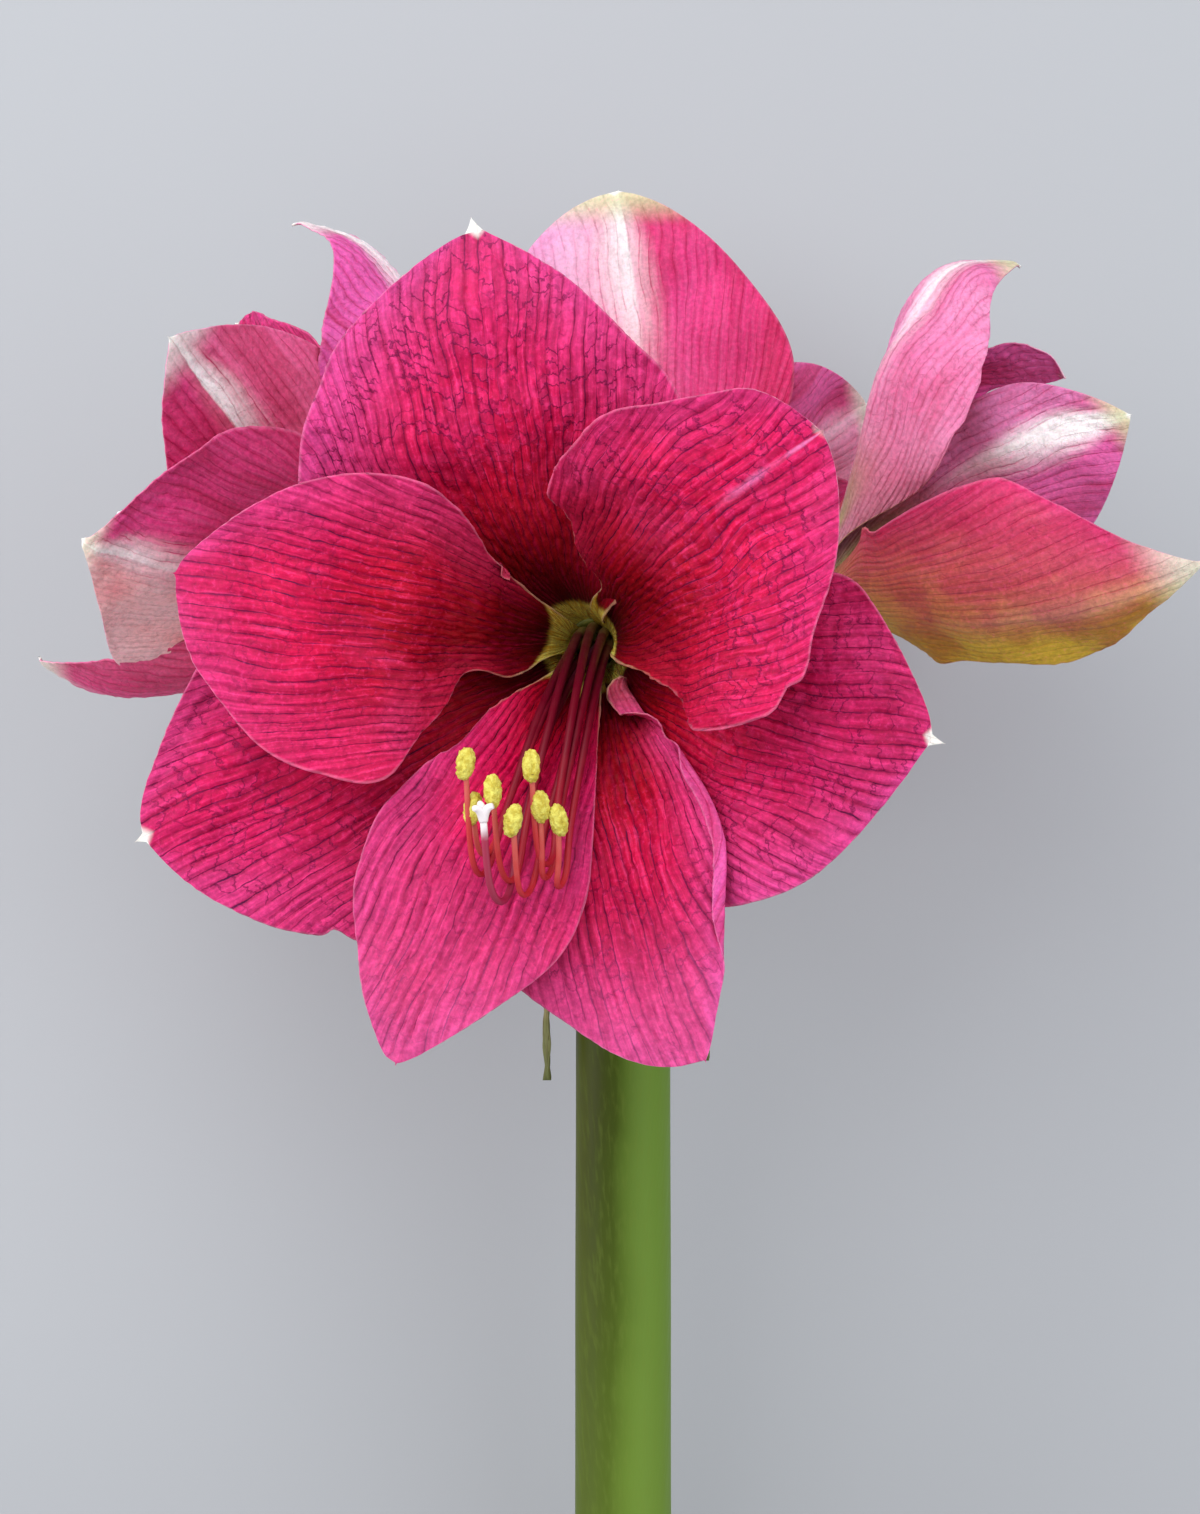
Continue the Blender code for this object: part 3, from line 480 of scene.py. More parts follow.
def surface_normals(points):
    """Unit normals of a grid of points."""
    down = np.gradient(points, axis=0)
    over = np.gradient(points, axis=1)
    normals = np.cross(down, over)
    size = np.linalg.norm(normals, axis=-1, keepdims=True)
    normals = normals / np.maximum(size, 1e-9)
    normals[-1] = normals[-2, normals.shape[1] // 2]
    return normals


def thin_sheet(points, halves):
    """A closed sheet round a grid of laid millimetre points; its vertices keep their grid place."""
    rows, columns = points.shape[0] - 1, points.shape[1] - 1
    normals = surface_normals(points)
    points, flat = settled(points, halves)
    straight = np.zeros_like(points)
    straight[..., 2] = np.where(normals[..., 2] > 0, 1.0, -1.0)
    normals = normals * (1 - flat[..., None]) + straight * flat[..., None]
    normals /= np.maximum(np.linalg.norm(normals, axis=-1, keepdims=True), 1e-9)
    bm = bmesh.new()
    bmesh.ops.create_grid(bm, x_segments=columns, y_segments=rows, size=1.0)
    number = bm.verts.layers.int.new("number")
    outside = bm.verts.layers.int.new("outside")
    for vert in bm.verts:
        column = round((vert.co.x + 1) / 2 * columns)
        row = round((vert.co.y + 1) / 2 * rows)
        vert[number] = row * (columns + 1) + column
    bmesh.ops.extrude_face_region(bm, geom=bm.faces, use_keep_orig=True)
    count = len(bm.verts) // 2
    near = (points + normals * halves[..., None]).reshape(-1, 3) * MM
    far = (points - normals * halves[..., None]).reshape(-1, 3) * MM
    for k, vert in enumerate(bm.verts):
        vert.co = near[vert[number]] if k < count else far[vert[number]]
        vert[outside] = k < count
    bmesh.ops.remove_doubles(bm, verts=bm.verts, dist=1e-6)
    bmesh.ops.recalc_face_normals(bm, faces=bm.faces)
    return bm


def across(pair, v):
    """A value that runs from the left margin's to the right margin's."""
    return pair[0] + (pair[1] - pair[0]) * (v + 1) / 2


def make_tepal(name, bloom, tepal, grid, seed, material, node):
    """One tepal as a thin fleshy sheet, thickest along its keel.

    Its maps: petal_veins has the vein phase and the length in vein pitches, petal_place v and s,
    petal_side 1 on the outer face and a share of its own, petal_tone deep and pale, petal_net
    net and lilac, petal_hue hue and milk, and petal_tip the whiteness and fade of the tip.
    """
    points, s, v, phase = tepal.sheet(*grid, seed)
    points = laid(bloom.place(points)) / MM
    keel = KEEL_HALF * hump(v, 0, 0.05) * (1 - 0.6 * s)
    halves = MARGIN_HALF + BODY_HALF * (1 - np.abs(v)**3) * (1 - 0.45 * s) + keel
    halves = np.where(s > 0.97, np.minimum(halves, TIP_HALF), halves)
    maps = {"petal_veins": (phase, s * TEPAL_LENGTH / VEIN_PITCH), "petal_place": (v, s),
            "petal_side": (v, seed * GOLDEN_SHARE % 1.0),
            "petal_tone": (tepal.deep, np.where(v < 0, *tepal.pale)),
            "petal_net": (tepal.net, across(tepal.lilac, v)),
            "petal_hue": (across(tepal.hue, v), across(tepal.milk, ease((v + 0.35) / 0.7) * 2 - 1)),
            "petal_tip": (np.full(v.shape, tepal.end[0]), tepal.end[1])}
    return add_piece(name, thin_sheet(points, halves), material, node, slot="tepal_pink", maps=maps)


def make_perianths(materials):
    """All the tepals and the short tubes they grow from."""
    mouth, inner = TUBE_MOUTH_RADIUS, TUBE_MOUTH_RADIUS - TUBE_WALL
    profile = [(0, 0), (TUBE_FOOT_RADIUS, 0), (TUBE_FOOT_RADIUS + 0.9, 6), (mouth, TUBE_HEIGHT - 1),
               (mouth - TUBE_WALL * 0.4, TUBE_HEIGHT + 0.3), (inner, TUBE_HEIGHT - 1),
               (TUBE_FOOT_RADIUS - TUBE_WALL * 0.8, TUBE_FLOOR), (0, TUBE_FLOOR)]
    for order, (name, bloom) in enumerate(BLOOMS.items()):
        node = "perianth_" + name
        for k, tepal in enumerate(bloom.tepals):
            seed = 31 + 17 * order + 5 * k
            make_tepal(f"tepal_{name}_{k + 1}", bloom, tepal, TEPAL_GRID[name], seed,
                       materials["petal"], node)
        add_piece("tube_" + name, turned(profile, 48, bloom.place), materials["tube"], node,
                  slot="tepal_pink")


def turned(profile, sides, place=np.asarray):
    """A closed solid turned from (radius, height) millimetre points, then put in its place."""
    bm = bmesh.new()
    verts = [bm.verts.new((radius, 0, height)) for radius, height in profile]
    edges = [bm.edges.new(pair) for pair in zip(verts, verts[1:])]
    bmesh.ops.spin(bm, geom=verts + edges, cent=(0, 0, 0), axis=(0, 0, 1), angle=2 * math.pi,
                   steps=sides, use_merge=True)
    bmesh.ops.remove_doubles(bm, verts=bm.verts, dist=1e-4)
    place_verts(bm, place)
    bmesh.ops.recalc_face_normals(bm, faces=bm.faces)
    return bm


def place_verts(bm, change):
    """Move every vertex through a change in upright millimetres, then lay it down."""
    points = np.array([vert.co for vert in bm.verts])
    for vert, point in zip(bm.verts, laid(change(points))):
        vert.co = point


def distances(route):
    """Distance of each point of a route from its start."""
    return np.concatenate([[0], np.cumsum(np.linalg.norm(np.diff(route, axis=0), axis=1))])


def smooth_route(points, count):
    """Even steps along a smooth curve through the points."""
    points = np.asarray(points, float)
    s = np.linspace(0, 1, count)
    return np.stack([through_stations(points[:, k], s) for k in range(3)], axis=-1)


def route_frames(route):
    """A frame at each point of a route, turned as little as possible from one to the next."""
    steps = np.gradient(route, axis=0)
    ahead = Vector(steps[0]).normalized()
    turn = ahead.to_track_quat("Z", "Y")
    frames = []
    for point, step in zip(route, steps):
        now = Vector(step).normalized()
        turn = ahead.rotation_difference(now) @ turn
        ahead = now
        frames.append(Matrix.Translation(Vector(point)) @ turn.to_matrix().to_4x4())
    return frames


def rod(route, radius_at, sides, bm=None, start=0.0):
    """A closed round rod along a millimetre route, with radius_at(share, angle), laid down.

    Its UV layer rod_map holds the share of the turn and of the way along, which begins at start.
    """
    bm = bm or bmesh.new()
    layer = bm.loops.layers.uv.get("rod_map") or bm.loops.layers.uv.new("rod_map")
    far = distances(route)
    far = start + (1 - start) * far / far[-1]
    last = len(route) - 1
    verts = bmesh.ops.create_grid(bm, x_segments=sides, y_segments=last, size=1.0)["verts"]
    for face in {face for vert in verts for face in vert.link_faces}:
        for loop in face.loops:
            row = round((loop.vert.co.y + 1) / 2 * last)
            loop[layer].uv = ((loop.vert.co.x + 1) / 2, far[row])
    frames = route_frames(route)
    for vert in verts:
        row = round((vert.co.y + 1) / 2 * last)
        angle = math.pi * (vert.co.x + 1)
        local = Vector((math.cos(angle), math.sin(angle), 0)) * radius_at(row / last, angle)
        vert.co = Vector(laid(np.array(frames[row] @ local)))
    bmesh.ops.remove_doubles(bm, verts=verts, dist=1e-7)
    rims = [edge for edge in bm.edges if edge.is_boundary]
    bmesh.ops.holes_fill(bm, edges=rims, sides=0)
    bmesh.ops.recalc_face_normals(bm, faces=bm.faces)
    return bm


def side_hooks(name):
    """Ends of the stamens of a bloom seen from the side: hook and anther in its own frame."""
    hooks = []
    droop, reach = SIDE_DROOP[name], SIDE_REACH[name]
    for k in range(SIDE_STAMENS):
        swing = ((SIDE_STAMENS - 1) / 2 - k) * SIDE_PITCH
        stagger = SIDE_STAGGER * (k % 2)
        hooks.append((np.array((swing, -droop - 0.75 * stagger, reach - stagger)),
                      np.array((swing * 1.25, -droop + 12.0 - stagger, reach + 6.0 - stagger))))
    return hooks


def bloom_hooks(name, bloom):
    """Hook and anther of each stamen, and of the style, in the bloom's frame."""
    if name == "front":
        hooks = [(bloom.inside(hook), bloom.inside(anther)) for hook, anther in FRONT_HOOKS]
        return hooks, tuple(bloom.inside(point) for point in FRONT_STYLE_HOOK)
    droop, reach = SIDE_DROOP[name], SIDE_REACH[name]
    style = (np.array((0.0, -droop - 6.0, reach + 7.0)), np.array((0.0, -droop + 4.0, reach + 15.0)))
    return side_hooks(name), style


def hook_route(foot, tube_end, shifts, low, high, count):
    """Route from foot out of the tube, over two shifted bends to a round hook at low and up to high."""
    bend = tube_end * 0.62 + low * 0.38 + np.array(shifts[0])
    before = tube_end * 0.25 + low * 0.75 + np.array(shifts[1])
    into = low + np.array((1.6, 1.6, -4.5))
    rise = low + (high - low) * np.array((0.75, 0.28, 0.4))
    stations = [foot, tube_end, bend, before, (before + into) / 2, into, low, rise, high]
    route = smooth_route(stations, 4 * count)
    far = distances(route)
    even = np.linspace(0, far[-1], count)
    route = np.stack([np.interp(even, far, route[:, k]) for k in range(3)], axis=-1)
    for _ in range(HOOK_EASING):
        route[1:-1] = (route[:-2] + 2 * route[1:-1] + route[2:]) / 4
    return route


def stamen_route(angle, low, high, count):
    """Route of a filament in the bloom's frame: out of the tube, over, down and up to its anther."""
    foot = np.array((math.cos(angle), math.sin(angle), 0)) * BUNDLE_RADIUS
    tube_end = foot * 1.55 + np.array((0, 0, TUBE_HEIGHT + 3))
    return hook_route(foot + np.array((0, 0, TUBE_FLOOR + 0.8)), tube_end,
                      ((2.4, 5.0, 10.0), (1.6, 1.5, 5.0)), low, high, count)


def make_stamens(name, bloom, materials):
    """Filaments in one piece and the pollen-covered anthers in another."""
    hooks, _ = bloom_hooks(name, bloom)
    node = "stamens_" + name
    close = name == "front"
    filaments = bmesh.new()
    anthers = bmesh.new()
    for k, (low, high) in enumerate(hooks):
        angle = -math.pi / 2 + STYLE_GAP / 2 + (2 * math.pi - STYLE_GAP) * k / (len(hooks) - 1)
        route = bloom.place(stamen_route(angle, low, high, 72 if close else 44))

        def radius_at(share, turn):
            return FILAMENT_RADIUS * (1.62 - 0.82 * share) * (1 + 0.05 * math.cos(2 * turn))
        rod(route, radius_at, 12 if close else 8, filaments)
        add_anther(anthers, bloom.place(high), 7 * k + len(name), close)
    add_piece("filaments_" + name, filaments, materials["filament"], node, slot="filament_red")
    add_piece("anthers_" + name, anthers, materials["pollen"], node, slot="filament_red")


def add_anther(bm, middle, seed, close):
    """A bean of pollen: two lobes along a furrow, with a grainy skin."""
    ball = bmesh.ops.create_icosphere(bm, subdivisions=4 if close else 3, radius=1.0)["verts"]
    rng = np.random.default_rng(seed)
    lean, nod = rng.uniform(-0.35, 0.35), rng.uniform(-0.2, 0.2)
    turn = Matrix.Rotation(lean, 3, "Y") @ Matrix.Rotation(nod, 3, "X")
    turn = turn @ Matrix.Rotation(rng.uniform(0, 3), 3, "Z")
    shift = Vector(rng.uniform(0, 50, 3))
    half = Vector(ANTHER_HALF)
    for vert in ball:
        way = vert.co.normalized()
        shape = Vector((way.x * half.x, way.y * half.y, math.copysign(abs(way.z)**0.85, way.z) * half.z))
        furrow = 0.55 * math.exp(-(way.x / 0.28)**2) * (1 - way.z**2)
        shape.y -= math.copysign(furrow, way.y)
        grain = noise.noise(shape * 1.5 + shift) * 0.42 + noise.noise(shape * 3.6 + shift) * 0.24
        shape += way * grain
        vert.co = Vector(laid(np.array(turn @ shape) + middle))


def make_style(name, bloom, materials):
    """The style through the middle of the stamens, with its three-lobed stigma."""
    _, (low, high) = bloom_hooks(name, bloom)
    tube_end = np.array((0, -2.0, TUBE_HEIGHT + 3))
    foot = np.array((0, 0, TUBE_FLOOR + 2 * CLEARANCE + PLUG_HEIGHT))
    shifts = ((0, 5.5, 6.5), (0, 0, 4.0))
    route = bloom.place(hook_route(foot, tube_end, shifts, low, high, 72))
    bm = rod(route, lambda share, turn: STYLE_RADIUS - 0.25 * share, 12)
    end = route[-1]
    ahead = unit(end - route[-2])
    level = unit(np.cross(ahead, bloom.side))
    for k in range(3):
        turn = 2 * math.pi * k / 3 + 0.4
        out = math.cos(turn) * level + math.sin(turn) * np.cross(ahead, level)
        lobe = [end + ahead * along + out * aside for along, aside in STIGMA_LOBE]
        rod(smooth_route(lobe, 14), lambda share, turn: STIGMA_RADIUS * (1 - 0.35 * share**3), 10, bm, 1.0)
    add_piece("style_" + name + "_fine", bm, materials["style"], "style_" + name, slot="style_pale")


def ovary_route(bloom):
    """Pedicel and ovary of a bloom: route from inside the head to the tube's foot."""
    foot = bloom.base - bloom.axis * CLEARANCE
    back = foot - bloom.axis * OVARY_LENGTH
    start = unit((foot[0], foot[1], 0.0)) * 3.5
    rise = start + np.array((0, 0, 5.0)) + (back - start) * 0.25
    return smooth_route([start, rise, back, back + (foot - back) * 0.5, foot], 40)


def make_stalk(materials):
    """Scape with its hollow cut end, and the pedicels and ovaries on its head."""
    wall = [(0, HEAD_HEIGHT), (5.5, HEAD_HEIGHT * 0.9), (10.5, HEAD_HEIGHT * 0.5),
            (12.4, HEAD_HEIGHT * 0.25), (HEAD_RADIUS, 0), (12.7, -3.5), (SCAPE_TOP_RADIUS + 0.5, -7)]
    for share in np.linspace(0, 1, 71):
        swell = 0.12 * math.sin(9 * share) + 0.06 * math.sin(23 * share)
        widening = (SCAPE_RADIUS - SCAPE_TOP_RADIUS) * min(1, share * 1.6)
        wall.append((SCAPE_TOP_RADIUS + widening + swell * (1 - share),
                     -20 - (SCAPE_LENGTH - 20.8) * share))
    rim = [(SCAPE_RADIUS - 0.25, 0.1), (SCAPE_RADIUS - 0.8, 0), (SCAPE_RADIUS - 2.6, 0.15),
           (BORE_RADIUS + 1.0, 0.1), (BORE_RADIUS + 0.3, 0.3), (BORE_RADIUS, 1.0), (BORE_RADIUS, 60)]
    wall += [(radius, height - SCAPE_LENGTH) for radius, height in rim]
    wall += [(BORE_RADIUS, -BORE_STOP - 5), (0, -BORE_STOP)]
    add_piece("scape", turned(wall, 72), materials["stem"], "stalk", slot="stalk_green")
    for name, bloom in BLOOMS.items():
        def radius_at(share, turn):
            plain = through_stations([PEDICEL_RADIUS, PEDICEL_RADIUS, PEDICEL_RADIUS * 1.08, OVARY_RADIUS,
                                      TUBE_FOOT_RADIUS], share)
            return float(plain) * (1 + 0.07 * math.cos(3 * turn) * hump(share, 0.78, 0.16))
        bm = rod(ovary_route(bloom), radius_at, 36)
        add_piece("pedicel_" + name, bm, materials["ovary"], "stalk", slot="stalk_green")


def make_valve(name, clock, length, lean, materials):
    """One withered spathe valve, a papery sheet that hangs along the scape."""
    rows, columns = 90, 40
    s, v = np.meshgrid(np.linspace(0, 1, rows + 1), np.linspace(-1, 1, columns + 1), indexing="ij")
    ring = 13.8
    reach = ring + lean * np.sin(s * math.pi * 0.62)
    breadth = 14.0 * (1 - s)**0.75 * (1 - 0.25 * s) + 0.9 * (1 - s**4)
    turn = clock * DEG + v * breadth / (ring + 1.5 * lean * s)
    pleats = 0.22 * np.sin(v * 26 + ripple(s * 2, v, 5)) * ease(s * 6)
    wrinkle = (0.5 * np.sin(9 * s + 2 * v) + 0.3 * ripple(s * 5, v * 2, len(name))) * s + pleats
    out = reach + wrinkle
    points = np.stack([out * np.cos(turn), out * np.sin(turn), -1 - length * s], axis=-1)
    bm = thin_sheet(laid(points) / MM, np.full(s.shape, 0.2))
    add_piece(name + "_fine", bm, materials["spathe"], name, slot="spathe_dry",
              maps={"petal_place": (v, s)})


class Nodes:
    """Short hand for building one node tree."""

    def __init__(self, tree):
        self.tree = tree

    def add(self, kind, **settings):
        """A node with its properties set."""
        node = self.tree.nodes.new(kind)
        for key, value in settings.items():
            setattr(node, key, value)
        return node

    def feed(self, socket, value):
        """Link an output to a socket, or set the socket's own value."""
        if isinstance(value, bpy.types.NodeSocket):
            self.tree.links.new(value, socket)
        elif isinstance(value, (tuple, list)) and len(value) == 3 and len(socket.default_value) == 4:
            socket.default_value = (*value, 1.0)
        else:
            socket.default_value = value

    def math(self, operation, a, b=0.0, c=None, clamp=False):
        """A Math node's result."""
        node = self.add("ShaderNodeMath", operation=operation, use_clamp=clamp)
        self.feed(node.inputs[0], a)
        self.feed(node.inputs[1], b)
        if c is not None:
            self.feed(node.inputs[2], c)
        return node.outputs[0]

    def times(self, a, b, clamp=False):
        """a times b."""
        return self.math("MULTIPLY", a, b, clamp=clamp)

    def plus(self, a, b, clamp=False):
        """a plus b."""
        return self.math("ADD", a, b, clamp=clamp)

    def minus(self, a, b, clamp=False):
        """a less b."""
        return self.math("SUBTRACT", a, b, clamp=clamp)

    def linear(self, a, slope, start):
        """a times a slope, plus a start."""
        return self.math("MULTIPLY_ADD", a, slope, start)

    def size(self, a):
        """a without its sign."""
        return self.math("ABSOLUTE", a)

    def span(self, value, low, high, out_low=0.0, out_high=1.0):
        """The value moved from one range to another, with soft ends."""
        node = self.add("ShaderNodeMapRange", interpolation_type="SMOOTHSTEP")
        for socket, number in zip(node.inputs, (value, low, high, out_low, out_high)):
            self.feed(socket, number)
        return node.outputs[0]

    def mix(self, share, a, b, blend="MIX"):
        """Two colours mixed."""
        node = self.add("ShaderNodeMix", data_type="RGBA", blend_type=blend, clamp_factor=True)
        self.feed(node.inputs[0], share)
        self.feed(node.inputs[6], a)
        self.feed(node.inputs[7], b)
        return node.outputs[2]

    def ramp(self, value, stops):
        """A colour ramp of (place, colour) stops."""
        node = self.add("ShaderNodeValToRGB")
        ramp = node.color_ramp
        while len(ramp.elements) < len(stops):
            ramp.elements.new(0.5)
        for element, (place, colour) in zip(ramp.elements, stops):
            element.position = place
            element.color = (*colour, 1.0)
        self.feed(node.inputs[0], value)
        return node.outputs[0]

    def noise(self, vector, scale, detail=2.0, rough=0.5):
        """A Noise texture's value."""
        node = self.add("ShaderNodeTexNoise")
        self.feed(node.inputs["Vector"], vector)
        node.inputs["Scale"].default_value = scale
        node.inputs["Detail"].default_value = detail
        node.inputs["Roughness"].default_value = rough
        return node.outputs[0]

    def vector(self, x, y, z=0.0):
        """Three values as a vector."""
        node = self.add("ShaderNodeCombineXYZ")
        for socket, value in zip(node.inputs, (x, y, z)):
            self.feed(socket, value)
        return node.outputs[0]

    def split(self, vector):
        """The three parts of a vector."""
        node = self.add("ShaderNodeSeparateXYZ")
        self.feed(node.inputs[0], vector)
        return node.outputs

    def uv(self, name):
        """A UV layer."""
        return self.add("ShaderNodeUVMap", uv_map=name).outputs[0]

    def dice(self, *cell):
        """A random value for each cell, which two or three numbers tell apart."""
        node = self.add("ShaderNodeTexWhiteNoise", noise_dimensions=f"{len(cell)}D")
        self.feed(node.inputs["Vector"], self.vector(*cell))
        return node.outputs["Value"]

    def shaded(self, colour, share):
        """A colour times a grey value."""
        return self.mix(1.0, colour, self.vector(share, share, share), "MULTIPLY")

    def bump(self, shader, height, strength, distance, invert=False):
        """Bump the shader's normal with a height."""
        node = self.add("ShaderNodeBump", invert=invert)
        for name, value in (("Height", height), ("Strength", strength), ("Distance", distance)):
            self.feed(node.inputs[name], value)
        self.feed(shader.inputs["Normal"], node.outputs[0])

    def finish(self, shader, colour, roughness, **constants):
        """Feed a Principled shader, and set other sockets of it, named in lower case."""
        named = {socket.name.lower().replace(" ", "_"): socket for socket in shader.inputs}
        for name, value in {"base_color": colour, "roughness": roughness, **constants}.items():
            self.feed(named[name], value)


def new_group(name, inputs, outputs):
    """An empty shader node group with its sockets."""
    tree = bpy.data.node_groups.new(name, "ShaderNodeTree")
    for label, kind in inputs:
        tree.interface.new_socket(label, in_out="INPUT", socket_type=kind)
    for label, kind in outputs:
        tree.interface.new_socket(label, in_out="OUTPUT", socket_type=kind)
    nodes = Nodes(tree)
    start = nodes.add("NodeGroupInput")
    end = nodes.add("NodeGroupOutput")
    return nodes, start.outputs, end.inputs


def vein_net_group():
    """Veins of a tepal from its vein map: broken lines, soft folds, cracks between, and fibres."""
    nodes, given, result = new_group(
        "vein net", [("Map", "NodeSocketVector"), ("Seed", "NodeSocketFloat")],
        [(label, "NodeSocketFloat") for label in ("Line", "Fold", "Crack", "Cell", "Fibre")])
    phase, along, _ = nodes.split(given["Map"])
    seed = given["Seed"]

    def field(across_scale, along_scale, shift, detail=2.0, lane=None):
        x = nodes.times(phase if lane is None else lane, across_scale)
        return nodes.noise(nodes.vector(x, nodes.times(along, along_scale),
                                        nodes.plus(seed, shift)), 1.0, detail)
    slow, quick = field(0.35, 0.2, 0.0), field(1.2, 1.0, 3.0, 3.0)
    phase = nodes.plus(phase, nodes.linear(slow, 0.7, -0.35))
    phase = nodes.plus(phase, nodes.linear(quick, 0.2, -0.1))
    lane = nodes.math("ROUND", phase)
    off = nodes.size(nodes.minus(phase, lane))
    broken = nodes.span(field(3.7, 0.3, 5.0, 2.0, lane), 0.36, 0.58, 0.1, 1.0)
    thick = nodes.span(field(2.3, 0.55, 8.0, 2.0, lane), 0.3, 0.7, 0.04, 0.1)
    line = nodes.span(nodes.math("DIVIDE", off, thick), 0.35, 1.0, 1.0, 0.0)
    nodes.feed(result["Line"], nodes.times(line, broken))
    fold = nodes.span(off, 0.03, 0.42, 1.0, 0.0)
    nodes.feed(result["Fold"], nodes.times(fold, nodes.span(field(0.6, 0.16, 11.0), 0.32, 0.6)))
    gap = nodes.math("FLOOR", phase)
    own = nodes.dice(gap, seed)
    inside = nodes.minus(nodes.minus(phase, gap), 0.5)
    slant = nodes.times(inside, nodes.linear(own, 2.0, -1.0))
    step = nodes.linear(along, 1.05, nodes.times(own, 7.0))
    step = nodes.plus(nodes.plus(step, slant), nodes.times(field(2.2, 1.6, 14.0, 3.0), 1.8))
    rung = nodes.math("ROUND", step)
    away = nodes.size(nodes.minus(step, rung))
    chance = nodes.span(nodes.dice(gap, rung, seed), 0.3, 0.6)
    crack = nodes.times(nodes.span(away, 0.04, 0.15, 1.0, 0.0), chance)
    nodes.feed(result["Crack"], nodes.times(crack, nodes.span(field(0.3, 0.25, 17.0), 0.34, 0.5)))
    nodes.feed(result["Cell"], nodes.dice(gap, nodes.math("FLOOR", step), seed))
    nodes.feed(result["Fibre"], field(3.4, 0.2, 21.0, 4.0))
    return nodes.tree


def new_material(name):
    """A material with its nodes, its shader and its object coordinates."""
    material = bpy.data.materials.new(name)
    material.use_nodes = True
    shader = material.node_tree.nodes["Principled BSDF"]
    nodes = Nodes(material.node_tree)
    here = nodes.add("ShaderNodeTexCoord").outputs["Object"]
    return material, nodes, shader, here


def inner_skin(nodes, maps, veins, cloud, patch, lilac, fade):
    """Colour of the inner face: green foot, maroon throat, rose blade with dark veins, lilac rims, painted
    shade beside the veins and painted highlights on puffs, fibres and the rib.
    """
    s, wide, deep, pale = maps
    line, fold, crack, cell, fibre = veins
    reach = nodes.linear(nodes.math("POWER", wide, 1.5), 0.16, s)
    reach = nodes.math("DIVIDE", nodes.plus(reach, nodes.linear(cloud, 0.1, -0.05)), deep)
    skin = nodes.ramp(reach, [
        (0.0, (0.05, 0.001, 0.004)), (0.17, (0.05, 0.0002, 0.001)), (0.29, (0.12, 0.0002, 0.002)),
        (0.4, (0.25, 0.0004, 0.006)), (0.52, (0.44, 0.001, 0.018)), (0.67, (0.59, 0.003, 0.062)),
        (0.86, (0.59, 0.008, 0.1)), (1.0, (0.58, 0.02, 0.13))])
    skin = nodes.mix(nodes.times(nodes.span(patch, 0.46, 0.7), nodes.span(s, 0.45, 0.6, 0.0, 0.42)),
                     skin, (0.6, 0.003, 0.036))
    skin = nodes.mix(nodes.times(nodes.span(patch, 0.5, 0.3), nodes.span(s, 0.45, 0.6, 0.0, 0.4)),
                     skin, (0.6, 0.032, 0.15))
    violet = nodes.times(nodes.span(wide, 0.25, 1.0), nodes.span(s, 0.22, 0.66))
    violet = nodes.times(violet, lilac, clamp=True)
    skin = nodes.mix(violet, skin, (0.72, 0.075, 0.33))
    # Lighter pink on random cells between the veins and cross veins: a random tone used as painted
    # highlight on the puffed skin, from the middle of the tepal out.
    painted_puff_highlight = nodes.times(nodes.span(cell, 0.3, 1.0, 0.0, 0.3), nodes.span(s, 0.45, 0.7))
    skin = nodes.mix(painted_puff_highlight, skin, (0.78, 0.04, 0.23))
    thread = nodes.span(fibre, 0.3, 0.7, 0.74, 1.2)
    skin = nodes.shaded(skin, thread)
    # Painted shade: darker crimson in the soft valleys beside each vein, less towards the margins.
    skin = nodes.mix(nodes.times(fold, nodes.span(wide, 0.5, 1.0, 0.55, 0.3)), skin, (0.32, 0.001, 0.036))
    dark = nodes.mix(nodes.span(s, 0.35, 0.75), (0.025, 0.0003, 0.003), (0.15, 0.002, 0.05))
    # Painted highlight: lighter pink sparkle along the brightest fibres, from the middle of the tepal out.
    painted_fibre_sparkle = nodes.times(nodes.span(fibre, 0.56, 0.74, 0.0, 0.34), nodes.span(s, 0.4, 0.62))
    skin = nodes.mix(painted_fibre_sparkle, skin, (0.84, 0.07, 0.27))
    faint = nodes.span(wide, 0.75, 1.0, 0.85, 0.3)
    edged = nodes.linear(wide, 0.22, s)
    skin = nodes.mix(nodes.times(line, faint), skin, dark)
    skin = nodes.mix(nodes.times(nodes.times(crack, faint), nodes.span(edged, 0.5, 0.8)), skin, dark)
    stain = nodes.times(line, nodes.span(cloud, 0.58, 0.68, 0.0, 0.8))
    skin = nodes.mix(nodes.times(stain, nodes.span(s, 0.4, 0.6)), skin, (0.06, 0.006, 0.05))
    # Painted highlight: a thin lilac sheen along the rib near the tip, on tepals whose pale is above 1.4.
    streak = nodes.times(nodes.span(wide, 0.005, 0.055, 1.0, 0.0), nodes.span(pale, 1.4, 2.0, 0.0, 0.75))
    streak = nodes.times(streak, nodes.span(cloud, 0.42, 0.52, 0.25, 1.0))
    skin = nodes.mix(nodes.times(streak, nodes.span(s, 0.72, 0.88)), skin, (0.82, 0.2, 0.48))
    soft = nodes.times(nodes.times(fade, nodes.span(fibre, 0.3, 0.7, 0.75, 1.2)), nodes.span(s, 0.7, 1.04))
    skin = nodes.mix(soft, skin, (0.78, 0.13, 0.4))
    star = nodes.linear(nodes.math("POWER", wide, 3.0), -0.09, nodes.linear(fibre, 0.05, s))
    green = nodes.mix(nodes.span(fibre, 0.42, 0.56), (0.64, 0.38, 0.03), (1.0, 0.88, 0.17))
    return nodes.mix(nodes.span(star, 0.195, 0.16), skin, green)


